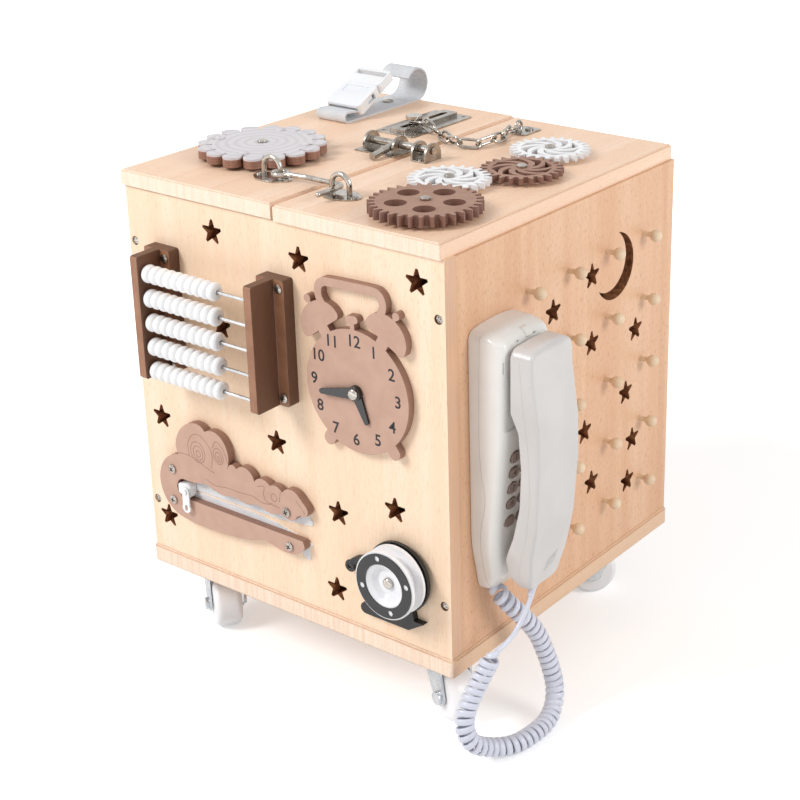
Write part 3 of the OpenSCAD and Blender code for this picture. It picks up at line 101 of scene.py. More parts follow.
# ---------- shader helper ----------
class Shade:
    """One material's node tree, built by calls that return output sockets."""

    def __init__(self, name, rough=0.5, **sockets):
        self.mat = bpy.data.materials.new(name)
        self.mat.use_nodes = True
        self.tree = self.mat.node_tree
        self.bsdf = self.tree.nodes["Principled BSDF"]
        self.set(Roughness=rough, **sockets)

    def set(self, **sockets):
        for key, value in sockets.items():
            self.put(self.bsdf.inputs[key.replace("_", " ")], value)
        return self

    def put(self, socket, value):
        if isinstance(value, bpy.types.NodeSocket):
            self.tree.links.new(value, socket)
        elif socket.type == "RGBA":
            socket.default_value = colour(value)
        else:
            socket.default_value = value

    def node(self, kind, **props):
        made = self.tree.nodes.new("ShaderNode" + kind)
        for key, value in props.items():
            setattr(made, key, value)
        return made

    def coords(self, scale=(1, 1, 1), turn=(0, 0, 0), shift=(0, 0, 0)):
        m = self.node("Mapping")
        self.put(m.inputs["Vector"], self.node("TexCoord").outputs["Object"])
        m.inputs["Scale"].default_value = scale
        m.inputs["Rotation"].default_value = turn
        m.inputs["Location"].default_value = shift
        return m.outputs[0]

    def noise(self, scale, stretch=(1, 1, 1), detail=2.0, rough=0.5, distortion=0.0, shift=(0, 0, 0)):
        n = self.node("TexNoise")
        self.put(n.inputs["Vector"], self.coords(stretch, shift=shift))
        n.inputs["Scale"].default_value = scale
        n.inputs["Detail"].default_value = detail
        n.inputs["Roughness"].default_value = rough
        n.inputs["Distortion"].default_value = distortion
        return n.outputs["Fac"]

    def spread(self, value, low, high, to_low=0.0, to_high=1.0):
        """Maps low..high to to_low..to_high, clamped."""
        m = self.node("MapRange")
        for socket, v in zip(m.inputs, (value, low, high, to_low, to_high)):
            self.put(socket, v)
        return m.outputs[0]

    def mix(self, fac, a, b, mode="MIX"):
        m = self.node("Mix", data_type="RGBA", blend_type=mode)
        for socket, v in zip((m.inputs[0], m.inputs[6], m.inputs[7]), (fac, a, b)):
            self.put(socket, v)
        return m.outputs[2]

    def math(self, op, a, b=0.0, c=0.0):
        m = self.node("Math", operation=op)
        for socket, v in zip(m.inputs, (a, b, c)):
            self.put(socket, v)
        return m.outputs[0]

    def place(self):
        """X, Y and Z of the surface in the row frame, in metres."""
        x = self.node("SeparateXYZ")
        self.put(x.inputs[0], self.node("TexCoord").outputs["Object"])
        return x.outputs

    def facing(self, axis):
        """How far the face's own normal lies along an axis, without sign."""
        x = self.node("SeparateXYZ")
        self.put(x.inputs[0], self.node("NewGeometry").outputs["True Normal"])
        return self.math("ABSOLUTE", x.outputs[axis])

    def within(self, value, low, high):
        """1 where value lies between low and high, else 0."""
        above, below = self.math("GREATER_THAN", value, low), self.math("LESS_THAN", value, high)
        return self.math("MULTIPLY", above, below)

    def both(self, *values):
        out = values[0]
        for v in values[1:]:
            out = self.math("MULTIPLY", out, v)
        return out

    def relief(self, height=None, depth=0.0002, strength=1.0, edge=0.0):
        """Bump from height, on rounded edges of the given radius."""
        normal = None
        if edge:
            b = self.node("Bevel", samples=6)
            b.inputs["Radius"].default_value = edge
            normal = b.outputs[0]
        if height is not None:
            b = self.node("Bump")
            b.inputs["Strength"].default_value = strength
            b.inputs["Distance"].default_value = depth
            self.put(b.inputs["Height"], height)
            if normal:
                self.put(b.inputs["Normal"], normal)
            normal = b.outputs[0]
        self.put(self.bsdf.inputs["Normal"], normal)
        return self


def colour(c):
    """An sRGB colour, 0 to 255, as linear RGBA."""
    if len(c) == 4:
        return c
    return [((v / 255 + 0.055) / 1.055) ** 2.4 if v > 10.3 else v / 255 / 12.92 for v in c] + [1.0]


# ---------- materials ----------
def wood(name, light, dark, fleck, along, cross, edge=0.0008, cut=None, staves=None, ends=None,
         fleck_amount=0.6, side=None):
    """Beech board: fine lines and short flecks along one axis. cut masks the scorched walls of
    cut-outs, staves draws glue lines across, ends holds the two tones of the faces that show end
    grain, and side the tone of the narrow faces that look across the grain."""
    s = Shade(name, rough=0.48)
    stretch = [1.0, 1.0, 1.0]
    stretch[along] = 0.045
    dash = [1.0, 1.0, 1.0]
    dash[along] = 0.13
    broad = s.noise(38, stretch, 3, 0.55, 0.6)
    lines = s.noise(560, stretch, 3, 0.65)
    short = s.noise(1500, dash, 1, 0.5)
    base = s.mix(s.spread(broad, 0.32, 0.68), light, dark)
    base = s.mix(s.spread(lines, 0.45, 0.75, 0, 0.55), base, dark)
    base = s.mix(s.spread(short, 0.60, 0.72, 0, fleck_amount), base, fleck)
    height = s.math("MULTIPLY_ADD", lines, 0.6, s.math("MULTIPLY", short, -0.5))
    if staves:
        x = s.place()[cross]
        step = s.math("DIVIDE", s.math("ADD", x, 1.0 + staves[1]), staves[0])
        cell = s.node("TexWhiteNoise", noise_dimensions="1D")
        s.put(cell.inputs["W"], s.math("FLOOR", step))
        base = s.mix(s.math("MULTIPLY", cell.outputs["Value"], 0.38), base, dark)
        seam = s.math("LESS_THAN", s.math("FRACT", step), 0.0004 / staves[0])
        base = s.mix(s.math("MULTIPLY", seam, 0.55), base, fleck)
    if ends is not None:
        speck = s.noise(900, (1, 1, 1), 2, 0.6)
        bands = [1.0, 1.0, 1.0]
        bands[2] = 0.03
        rings = s.noise(300, bands, 2, 0.6, 1.2)
        tone = s.mix(s.spread(rings, 0.4, 0.62), *ends)
        tone = s.mix(s.spread(speck, 0.5, 0.7, 0, 0.18), tone, fleck)
        base = s.mix(s.math("GREATER_THAN", s.facing(along), 0.7), base, tone)
    if side is not None:
        outer = s.math("GREATER_THAN", s.math("ABSOLUTE", s.place()[cross]), (RIGHT_X - 0.5) * MM)
        base = s.mix(s.both(outer, s.math("GREATER_THAN", s.facing(cross), 0.7)), base,
                     s.mix(s.spread(lines, 0.4, 0.7), side, fleck))
    if cut:
        char = s.noise(220, (1, 1, 1), 3, 0.6)
        scorched = s.mix(s.spread(char, 0.35, 0.65), (188, 128, 88), (112, 68, 44))
        base = s.mix(cut(s), base, scorched)
    s.set(Base_Color=base, Roughness=s.spread(broad, 0.3, 0.7, 0.42, 0.55))
    s.set(Coat_Weight=0.12)
    s.bsdf.inputs["Coat Roughness"].default_value = 0.35
    s.bsdf.inputs["Specular IOR Level"].default_value = 0.4
    s.relief(height, 0.00012, 0.7, edge)
    return s.mat


def cut_walls(axis, low, high, tall=(0.0725, 0.3695)):
    """Walls of cut-outs in a panel whose face looks along an axis: across from low to high."""
    across = 1 - axis

    def mask(s):
        p = s.place()
        return s.both(s.math("LESS_THAN", s.facing(axis), 0.6), s.within(p[across], low, high),
                      s.within(p[2], *tall))
    return mask


def painted(name, main, shade, rough=0.55, edge=0.0006, grain=0, core_and_shade=None, coat=0.1):
    """Painted wooden toy: a satin coat with a trace of grain, and a darker tone with ply bands on the faces
    that don't look along one axis, which on the brackets' broad sides and the gears' rims is painted shade.
    """
    s = Shade(name, rough=rough)
    mottle = s.noise(60, (1, 1, 1), 3, 0.6)
    fine = s.noise(900, (1, 1, 1), 2, 0.6)
    base = s.mix(s.spread(mottle, 0.35, 0.68), main, shade)
    base = s.mix(s.spread(fine, 0.58, 0.78, 0, 0.25), base, shade)
    height = s.math("MULTIPLY_ADD", fine, 0.7, s.math("MULTIPLY", mottle, 0.6))
    if grain:
        stretch = [1.0, 1.0, 1.0]
        stretch[grain - 1] = 0.04
        lines = s.noise(420, stretch, 3, 0.6)
        base = s.mix(s.spread(lines, 0.5, 0.72, 0, 0.5), base, shade)
        height = s.math("ADD", height, s.math("MULTIPLY", lines, 1.2))
    if core_and_shade is not None:
        axis, tone = core_and_shade
        # faces that don't look along the axis take the darker tone: painted shade on the brackets and the
        # gears
        side = s.math("LESS_THAN", s.facing(axis), 0.5)
        plies = s.node("TexWave", wave_type="BANDS", bands_direction="XYZ"[axis])
        s.put(plies.inputs["Vector"], s.coords())
        plies.inputs["Scale"].default_value = 260
        plies.inputs["Distortion"].default_value = 1.5
        dark_sides = s.mix(s.spread(plies.outputs["Fac"], 0.2, 0.8, 0, 0.35), tone, shade)
        base = s.mix(side, base, dark_sides)
    s.set(Base_Color=base, Roughness=s.spread(fine, 0.3, 0.7, rough - 0.06, rough + 0.08), Coat_Weight=coat)
    s.bsdf.inputs["Coat Roughness"].default_value = 0.4
    s.relief(height, 0.00008, 0.6, edge)
    return s.mat


def metal(name, tone, reflection_dark, rough=0.2, edge=0.0003, stretch=(1, 1, 1)):
    """Plated or polished steel with fine scratches, and darker cloudy patches in its colour that are painted
    reflections.
    """
    s = Shade(name, rough=rough, Metallic=1.0)
    cloud = s.noise(90, (1, 1, 1), 3, 0.6)
    fine = s.noise(500, stretch, 3, 0.6)
    # cloudy mix of the tone and the darker tone: painted reflections
    s.set(Base_Color=s.mix(s.spread(cloud, 0.35, 0.7), tone, reflection_dark),
          Roughness=s.spread(fine, 0.3, 0.75, rough * 0.75, rough * 1.5))
    s.relief(fine, 0.00003, 0.5, edge)
    return s.mat


def plastic(name, main, shade, rough=0.35, edge=0.0005, through=0.0, coat=0.0):
    """Moulded plastic: even colour, faint flow mottling and a fine moulded texture."""
    s = Shade(name, rough=rough)
    flow = s.noise(26, (1, 1, 1), 2, 0.5)
    fine = s.noise(1400, (1, 1, 1), 1, 0.5)
    s.set(Base_Color=s.mix(s.spread(flow, 0.35, 0.65), main, shade),
          Roughness=s.spread(flow, 0.3, 0.7, rough - 0.04, rough + 0.05), Coat_Weight=coat)
    if through:
        s.bsdf.inputs["Subsurface Weight"].default_value = through
        s.bsdf.inputs["Subsurface Radius"].default_value = (0.004, 0.003, 0.002)
        s.bsdf.inputs["Subsurface Scale"].default_value = 1.0
    s.relief(fine, 0.00002, 0.5, edge)
    return s.mat


def woven(name, main, shade, across, along, pitch=0.0011, groove_shade=0.35):
    """Close woven band: fine ribs across it and rows of yarn along it, painted shade between the yarns, and a
    soft sheen.
    """
    s = Shade(name, rough=0.75)
    p = s.coords()
    ribs = s.node("TexWave", wave_type="BANDS", bands_direction="XYZ"[along])
    rows = s.node("TexWave", wave_type="BANDS", bands_direction="XYZ"[across])
    for w, size in ((ribs, pitch), (rows, pitch * 1.6)):
        s.put(w.inputs["Vector"], p)
        w.inputs["Scale"].default_value = 0.31 / size
        w.inputs["Distortion"].default_value = 0.4
    weave = s.math("MULTIPLY", ribs.outputs["Fac"], rows.outputs["Fac"])
    soil = s.noise(45, (1, 1, 1), 3, 0.6)
    base = s.mix(s.spread(soil, 0.3, 0.7), main, shade)
    # darker between the ribs and rows: painted shade in the weave's grooves
    base = s.mix(s.math("MULTIPLY", s.math("SUBTRACT", 1.0, weave), groove_shade), base, shade)
    s.set(Base_Color=base)
    s.bsdf.inputs["Sheen Weight"].default_value = 0.35
    s.bsdf.inputs["Sheen Roughness"].default_value = 0.4
    s.relief(weave, 0.0003, 0.8)
    return s.mat


# ---------- mesh helpers ----------
def piece(name, verts, faces, body, mat, smooth=True, scale=MM):
    mesh = bpy.data.meshes.new(name)
    mesh.from_pydata([tuple(np.asarray(v, float) * scale) for v in verts], [], [tuple(f) for f in faces])
    mesh.validate()
    mesh.update()
    bm = bmesh.new()
    bm.from_mesh(mesh)
    bmesh.ops.recalc_face_normals(bm, faces=bm.faces)
    bm.to_mesh(mesh)
    bm.free()
    if smooth:
        mesh.polygons.foreach_set("use_smooth", [True] * len(mesh.polygons))
    o = bpy.data.objects.new(name, mesh)
    bpy.context.scene.collection.objects.link(o)
    mesh.materials.append(mat)
    if body:
        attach(o, body)
    return o


class Many:
    """Collects parts of one piece."""

    def __init__(self):
        self.verts, self.faces = [], []

    def add(self, verts, faces):
        n = len(self.verts)
        self.verts += [tuple(v) for v in verts]
        self.faces += [tuple(i + n for i in f) for f in faces]
        return self


def spline(points, steps):
    p = [np.asarray(q, float) for q in points]
    out = []
    for i in range(len(p) - 1):
        a, b, c, d = p[max(i - 1, 0)], p[i], p[i + 1], p[min(i + 2, len(p) - 1)]
        for k in range(steps):
            u = k / steps
            out.append(0.5 * (2 * b + (c - a) * u + (2 * a - 5 * b + 4 * c - d) * u**2
                              + (3 * b - a - 3 * c + d) * u**3))
    return np.array(out + [p[-1]])


def headings(p):
    t = np.gradient(p, axis=0)
    return t / np.linalg.norm(t, axis=1)[:, None]


def frames(p, start=(1, 0.2, 0.1)):
    """Headings and two square directions carried along a path without twist."""
    t = headings(p)
    n = np.zeros_like(t)
    now = np.asarray(start, float)
    for i in range(len(p)):
        now = now - (now @ t[i]) * t[i]
        now = now / np.linalg.norm(now)
        n[i] = now
    return t, n, np.cross(t, n)


def sweep(p, n, b, outline, closed_ends=True):
    """A tube: outline holds (along n, along b) pairs, or one set for each point of the path."""
    outline = np.asarray(outline, float)
    k = outline.shape[-2]
    if outline.ndim == 2:
        outline = np.repeat(outline[None], len(p), 0)
    verts = (p[:, None] + outline[:, :, :1] * n[:, None] + outline[:, :, 1:] * b[:, None]).reshape(-1, 3)
    faces = [(i * k + j, i * k + (j + 1) % k, (i + 1) * k + (j + 1) % k, (i + 1) * k + j)
             for i in range(len(p) - 1) for j in range(k)]
    if closed_ends:
        faces += [tuple(range(k - 1, -1, -1)), tuple(range((len(p) - 1) * k, len(p) * k))]
    return verts, faces


def oval(w, h, sides, power=2.0):
    """A closed ellipse, squarer as power rises above 2."""
    a = np.linspace(0, 2 * np.pi, sides, endpoint=False)
    c, s = np.cos(a), np.sin(a)
    return np.stack([w / 2 * np.sign(c) * np.abs(c) ** (2 / power),
                     h / 2 * np.sign(s) * np.abs(s) ** (2 / power)], 1)


# ---------- rounded solids from distance fields ----------
def polygon_distance(p, poly):
    """Signed distance from points to a closed polygon, negative inside."""
    best = np.full(len(p), 1e18)
    inside = np.zeros(len(p), bool)
    for a, b in zip(poly, np.roll(poly, -1, 0)):
        e, w = b - a, p - a
        t = np.clip((w @ e) / (e @ e), 0, 1)
        best = np.minimum(best, ((w - t[:, None] * e) ** 2).sum(1))
        crosses = (a[1] > p[:, 1]) != (b[1] > p[:, 1])
        if abs(e[1]) > 1e-9:
            inside ^= crosses & (p[:, 0] < a[0] + (p[:, 1] - a[1]) / e[1] * e[0])
    return np.where(inside, -1, 1) * np.sqrt(best)


def round_and(a, b, r):
    """Distance to what two shapes share, its meeting edge rounded to radius r."""
    u, v = np.maximum(a + r, 0), np.maximum(b + r, 0)
    return np.hypot(u, v) + np.minimum(np.maximum(a + r, b + r), 0) - r


def surface_of(f, low, high, step):
    """Quads of the zero level of f, one vertex in each cell that it crosses, moved onto the level."""
    axes = [np.arange(a, b + step, step) for a, b in zip(low, high)]
    grid = np.stack(np.meshgrid(*axes, indexing="ij"), -1)
    inside = (f(grid.reshape(-1, 3)) < 0).reshape(grid.shape[:3])
    n = np.array(inside.shape) - 1
    count = sum(inside[i:n[0] + i, j:n[1] + j, k:n[2] + k].astype(int)
                for i in (0, 1) for j in (0, 1) for k in (0, 1))
    cells = np.argwhere((count > 0) & (count < 8))
    index = -np.ones(n, int)
    index[tuple(cells.T)] = np.arange(len(cells))
    points = np.array([a[0] for a in axes]) + (cells + 0.5) * step
    for _ in range(5):
        d = f(points)
        g = np.stack([(f(points + h) - f(points - h)) / 0.1 for h in np.eye(3) * 0.05], 1)
        points = points - np.clip(d, -step, step)[:, None] * g / np.maximum((g * g).sum(1), 0.2)[:, None]
    faces = []
    for a in range(3):
        b, c = (a + 1) % 3, (a + 2) % 3
        lead, rest = [slice(None)] * 3, [slice(None)] * 3
        lead[a], rest[a] = slice(1, None), slice(0, -1)
        swap = inside[tuple(lead)] != inside[tuple(rest)]
        where = np.argwhere(swap)
        where = where[(where[:, b] > 0) & (where[:, c] > 0) & (where[:, b] < n[b]) & (where[:, c] < n[c])]
        eb, ec = np.eye(3, dtype=int)[b], np.eye(3, dtype=int)[c]
        quad = [index[tuple((where + o).T)] for o in (-eb - ec, -ec, 0 * eb, -eb)]
        faces.append(np.stack(quad, 1))
    return points, np.concatenate(faces)


# ---------- the phone ----------
PHONE_MID = 51.0               # the phone's middle, from the right panel's front edge
FACE_OUT, FACE_Z = 30, 171     # top of the keys' leaning face: out of the panel and up it
LEAN = math.atan(9 / 86.5)     # lean of that face
KEY_WELL_R, KEY_WELL_WIDER, KEY_WELL_DEPTH = 4.5, 1.32, 4.3
KEY_COLUMNS, KEY_ROWS = (-13, 0, 13), (-18, -30.2, -42.4, -54.6, -69)


def arcs(corners, steps=7):
    """A closed outline with round corners: corners holds (x, y, radius)."""
    c = [np.array(q[:2], float) for q in corners]
    out = []
    for i, q in enumerate(corners):
        a, b, r = c[i - 1] - c[i], c[(i + 1) % len(c)] - c[i], q[2]
        a, b = a / np.linalg.norm(a), b / np.linalg.norm(b)
        half = math.acos(max(-1, min(1, a @ b))) / 2
        if r <= 0 or half > 1.55:
            out.append(c[i])
            continue
        middle = c[i] + (a + b) / np.linalg.norm(a + b) * r / math.sin(half)
        p, q2 = c[i] + a * r / math.tan(half) - middle, c[i] + b * r / math.tan(half) - middle
        turn = math.atan2(p[0] * q2[1] - p[1] * q2[0], p @ q2)
        for k in range(steps + 1):
            c1, s1 = math.cos(turn * k / steps), math.sin(turn * k / steps)
            out.append(middle + [p[0] * c1 - p[1] * s1, p[0] * s1 + p[1] * c1])
    return np.array(out)


# Outlines hold (across, up, corner radius), and sides (out of the panel, up, corner radius)
HANDSET_OUTLINE = arcs([(-15, 49, 15), (15, 49, 15), (23, 84, 60), (24.6, 150, 90), (24.4, 236.5, 9),
                        (0, 239, 60), (-24.4, 236.5, 9), (-24.6, 150, 90), (-23, 84, 60)])
HANDSET_SIDE = arcs([(36.5, 49, 5), (43.5, 55, 12), (47.5, 74, 40), (53, 105, 80), (56, 147, 80),
                     (55.6, 180, 60), (50.6, 216, 60), (49.6, 238.5, 6), (31.8, 238.5, 3), (31.8, 190, 3),
                     (38.2, 177, 7), (40.4, 150, 40), (38.6, 120, 40), (32.6, 95, 30), (24.6, 75, 8),
                     (25.4, 63, 5), (30, 54, 4)])
BASE_OUTLINE = arcs([(-18, 37.5, 16), (18, 37.5, 16), (27.6, 84, 80), (28, 150, 90), (28, 243.5, 8),
                     (0, 249, 90), (-28, 243.5, 8), (-28, 150, 90), (-27.6, 84, 80)])
BASE_SIDE = arcs([(-12, 37.5, 0), (9, 42, 5), (19, 57, 10), (21.4, 84.5, 40), (FACE_OUT, FACE_Z, 160),
                  (30.6, 232, 5), (27.5, 240, 10), (17, 248, 14), (-12, 249, 0)])


def handset(p):
    """Distance field of the handset: a rounded body with four speaking slits, in the right panel's mm."""
    out = polygon_distance(p[:, 1:] - [PHONE_MID, 0], HANDSET_OUTLINE)
    side = polygon_distance(p[:, [0, 2]], HANDSET_SIDE)
    body = round_and(out, side, 2.0)
    slits = np.full(len(p), 9.0)
    for i in range(4):
        a = np.array([PHONE_MID - 3 + 3.0 * i, 66.0 + i * 0.9])
        b = np.array([PHONE_MID + 0.2 + 3.0 * i, 75 + i * 0.9])
        e, w = b - a, p[:, 1:] - a
        t = np.clip((w @ e) / (e @ e), 0, 1)
        slits = np.minimum(slits, np.hypot(*(w - t[:, None] * e).T) - 0.5)
    return np.maximum(body, -np.maximum(slits, -(body + 1.0)))


def phone_base(p):
    """Distance field of the wall base: a domed body with the handset's seat and the keys' wells."""
    out = polygon_distance(p[:, 1:] - [PHONE_MID, 0], BASE_OUTLINE)
    side = polygon_distance(p[:, [0, 2]], BASE_SIDE)
    body = round_and(out, side, 7.0)
    body = round_and(body, -p[:, 0], 1.2)
    # the seat that the handset's upper end lies in, below the lip
    seat = polygon_distance(p[:, 1:] - [PHONE_MID, 0], HANDSET_OUTLINE - [0, 2.5]) - 1.6
    seat = np.maximum(seat, 28.8 - p[:, 0])
    seat = np.maximum(seat, 176.0 - p[:, 2])
    body = round_and(body, -seat, 1.2)
    cup = np.maximum(np.hypot(p[:, 1] - PHONE_MID, p[:, 2] - 211) - 19, 27 - p[:, 0])
    body = np.maximum(body, -cup)
    # the keys' wells, square to the leaning front
    up = (p[:, 2] - FACE_Z) * math.cos(LEAN) + (p[:, 0] - FACE_OUT) * math.sin(LEAN)
    out_of = (p[:, 0] - FACE_OUT) * math.cos(LEAN) - (p[:, 2] - FACE_Z) * math.sin(LEAN)
    for y in KEY_COLUMNS:
        for z in KEY_ROWS:
            ring = np.hypot((p[:, 1] - PHONE_MID - y) / KEY_WELL_WIDER, up - z) - KEY_WELL_R
            well = np.maximum(ring, -KEY_WELL_DEPTH - out_of)
            body = np.maximum(body, -well)
    # raised tab on the domed top
    tab = np.maximum(np.abs(p[:, 1] - 54) - 3.4, np.abs(p[:, 2] - 240) - 3.0)
    return np.minimum(body, np.maximum(tab, body - 1.3))


def surface_points(f, starts, toward):
    """Where f changes sign within 30 mm of each start, in mm."""
    starts, toward = np.asarray(starts, float), np.asarray(toward, float)
    low, high = np.zeros(len(starts)), np.full(len(starts), 30.0)
    for _ in range(24):
        mid = (low + high) / 2
        outside = f(starts + toward * mid[:, None]) > 0
        low, high = np.where(outside, mid, low), np.where(outside, high, mid)
    return starts + toward * low[:, None]


def seam_line(f, points, toward, width):
    """A fine parting line laid in a surface: (mesh verts, faces)."""
    p = surface_points(f, points, toward) + np.asarray(toward) * 0.08
    _, n, b = frames(p, (0.3, 1, 0.2))
    return sweep(p, n, b, oval(width, width, 6))


# ---------- studio ----------
AMBIENT = 0.50                 # light from all round, as the pieces get it
FLOOR_LIFT = 0.38              # the floor's own light near the object, as the camera sees it


def set_world():
    """White to the camera and in reflections, and an even plain light for everything else."""
    world = bpy.data.worlds.new("studio")
    bpy.context.scene.world = world
    world.use_nodes = True
    t = world.node_tree
    back = t.nodes["Background"]
    seen = t.nodes.new("ShaderNodeBackground")
    seen.inputs["Color"].default_value = (1, 1, 1, 1)
    seen.inputs["Strength"].default_value = 1.0
    back.inputs["Color"].default_value = (1, 1, 1, 1)
    back.inputs["Strength"].default_value = AMBIENT
    path = t.nodes.new("ShaderNodeLightPath")
    total = None
    for ray in ("Is Camera Ray", "Is Glossy Ray", "Is Transmission Ray"):
        if total is None:
            total = path.outputs[ray]
            continue
        m = t.nodes.new("ShaderNodeMath")
        m.operation = "MAXIMUM"
        t.links.new(total, m.inputs[0])
        t.links.new(path.outputs[ray], m.inputs[1])
        total = m.outputs[0]
    mix = t.nodes.new("ShaderNodeMixShader")
    t.links.new(total, mix.inputs[0])
    t.links.new(back.outputs[0], mix.inputs[1])
    t.links.new(seen.outputs[0], mix.inputs[2])
    t.links.new(mix.outputs[0], t.nodes["World Output"].inputs["Surface"])


make_camera()
set_world()
softbox("key", (-1.25, -2.15, 2.25), (0, 0, 0.2), 1.3, 60)
softbox("side", (2.5, 0.35, 1.5), (0.1, 0, 0.2), 1.2, 29)
bpy.context.scene.view_settings.view_transform = "Standard"


def make_floor():
    """A white floor that fades into the background away from the object and keeps its shadow."""
    s = Shade("floor_white", rough=0.9)
    s.set(Base_Color=(244, 244, 244))
    s.bsdf.inputs["Specular IOR Level"].default_value = 0.0
    path = s.node("LightPath")
    seen = s.math("MAXIMUM", path.outputs["Is Camera Ray"],
                  s.math("MAXIMUM", path.outputs["Is Glossy Ray"], path.outputs["Is Transmission Ray"]))
    s.bsdf.inputs["Emission Color"].default_value = (1, 1, 1, 1)
    x, y, _ = s.place()
    far = s.math("SQRT", s.math("ADD", s.math("MULTIPLY", x, x), s.math("MULTIPLY", y, y)))
    lift = s.spread(far, 0.45, 1.1, FLOOR_LIFT, 1.0)
    s.put(s.bsdf.inputs["Emission Strength"], s.math("MULTIPLY", seen, lift))
    r = 14.0
    corners = [(-r, -r, 0), (r, -r, 0), (r, r, 0), (-r, r, 0)]
    floor = piece("studio_floor", corners, [(0, 1, 2, 3)], None, s.mat, smooth=False, scale=1)


make_floor()

# ---------- the phone's curly cord ----------
# Middle line of the coil, then of the plain lead: out of the right panel, from its front, up it
COIL = [[9, 37, 47], [12, 39, 41], [16, 45, 31], [22, 55, 17], [27, 65, 1], [31, 70.5, -16],
        [34.5, 73.5, -32], [37.5, 74, -46.5], [40.5, 68, -58], [43.5, 55, -63.3], [44.3, 37, -63.6],
        [41, 18, -63.6], [33, 2, -60.5], [27, -12, -52], [23, -16, -41], [21.5, -14, -30],
        [22, -8, -19.5], [24, -2, -9.5], [27, 4, 2], [30, 8, 11]]
LEAD = [[30, 8, 11], [31.5, 12, 15], [32.5, 19, 15], [33, 26, 17], [34, 33, 23], [35, 39, 31],
        [36, 44.6, 39.6], [36.5, 48, 47.9]]
CORD_W, CORD_T, TURNS = 4.8, 2.6, 48
COIL_D = 14.4
LEAD_OVAL = (3.4, 3.6)
OPEN_RUN, OPEN_LOSS = 0.1, 0.45   # share of the coil whose turns stand open, and by how much


def lay_cord(mat):
    """The coil's helix and its lead in one flat-oval wire: (piece, its middle line, its length)."""
    coil = spline([right(*q) for q in COIL], 30)
    lead = spline([right(*q) for q in LEAD[1:]], 8)
    along = np.concatenate([coil, lead[1:]])
    run = np.concatenate([[0], np.cumsum(np.linalg.norm(np.diff(along, axis=0), axis=1))])
    coil_run = run[len(coil) - 1]
    per_turn = 20
    s = np.concatenate([np.linspace(0, coil_run, TURNS * per_turn, endpoint=False),
                        np.linspace(coil_run, run[-1], 22)])
    centre = np.stack([np.interp(s, run, along[:, k]) for k in range(3)], 1)
    kernel = np.ones(9) / 9
    soft = centre.copy()
    for k in range(3):
        soft[:, k] = np.convolve(np.pad(centre[:, k], 4, mode="edge"), kernel, "valid")
    soft[0], soft[-1] = centre[0], centre[-1]
    _, n, b = frames(soft)
    u = np.minimum(s / coil_run, 1)
    loss = OPEN_LOSS * OPEN_RUN
    phase = 2 * np.pi * TURNS * (u - loss * (1 - np.exp(-u / OPEN_RUN))) / (1 - loss)
    radius = (COIL_D - CORD_T) / 2
    ramp = np.clip(s / 6.0, 0, 1) * np.clip((coil_run + 3 - s) / 9.0, 0, 1)
    ramp = ramp * ramp * (3 - 2 * ramp)
    out = np.cos(phase)[:, None] * n + np.sin(phase)[:, None] * b
    line = soft + (radius * ramp)[:, None] * out
    heading = headings(line)
    radial = out - (out * heading).sum(1)[:, None] * heading
    radial /= np.linalg.norm(radial, axis=1)[:, None]
    wide = np.cross(heading, radial)
    size = np.repeat(oval(CORD_T, CORD_W, 12, 2.4)[None], len(line), 0)
    round_end = np.clip((s - coil_run) / 8, 0, 1)[:, None, None]
    size = size * (1 - round_end) + oval(*LEAD_OVAL, 12)[None] * round_end
    verts, faces = sweep(line, radial, wide, size)
    cord = piece("phone_cord_coil", verts, faces, None, mat)
    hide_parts("phone_cord")
    length = float(np.linalg.norm(np.diff(line, axis=0), axis=1).sum()) * MM
    return cord, line * MM, length


def boot(name, start, toward, length, wide, narrow, body, mat):
    """A ribbed strain relief that narrows from the housing along the cord."""
    k = 22
    p = np.array([np.asarray(start) + np.asarray(toward) / np.linalg.norm(toward) * length * i / k
                  for i in range(k + 1)])
    _, n, b = frames(p, (0, 0, 1))
    ring = []
    for i in range(k + 1):
        d = wide + (narrow - wide) * i / k - (0.7 if i % 4 in (2, 3) else 0)
        ring.append(oval(d, d, 16))
    verts, faces = sweep(p, n, b, ring)
    return piece(name, verts, faces, body, mat)


# ---------- materials of the carried-over nodes ----------
# The front panel and the side and back panels are one beech. The front's paler tones are a painted highlight
# where the key lamp falls. The sides' darker, warmer tones are partly the boards' own tone and partly painted
# shade.
PALE_LIT, PALE_LIT_D, PALE_LIT_F = (255, 230, 203), (250, 217, 185), (226, 180, 140)
WARM_SHADED, WARM_SHADED_D, WARM_SHADED_F = (232, 191, 156), (220, 172, 135), (184, 126, 88)
front_wood_lit = wood("beech_front_lit", PALE_LIT, PALE_LIT_D, PALE_LIT_F, 2, 0, cut=cut_walls(1, -0.1455, 0.1455),
                  fleck_amount=0.4, side=(212, 172, 144))
side_wood_shaded = wood("beech_side_shaded", WARM_SHADED, WARM_SHADED_D, WARM_SHADED_F, 2, 1, cut=cut_walls(0, -0.1325, 0.1325),
                 fleck_amount=0.75)
top_wood = wood("beech_top", (250, 220, 194), (241, 204, 174), (208, 160, 122), 1, 0, edge=0.0011,
                staves=(0.043, 0.006), ends=((251, 233, 212), (246, 224, 200)), fleck_amount=0.4)
base_wood = wood("beech_base", (238, 204, 172), (224, 184, 150), (190, 142, 106), 1, 0, edge=0.0012,
                 staves=(0.031, 0.004), ends=((252, 229, 208), (243, 214, 190)), fleck_amount=0.4)
peg_wood = wood("beech_turned", (238, 216, 186), (226, 196, 162), (196, 152, 114), 0, 2,
                edge=0.0003, fleck_amount=0.25)
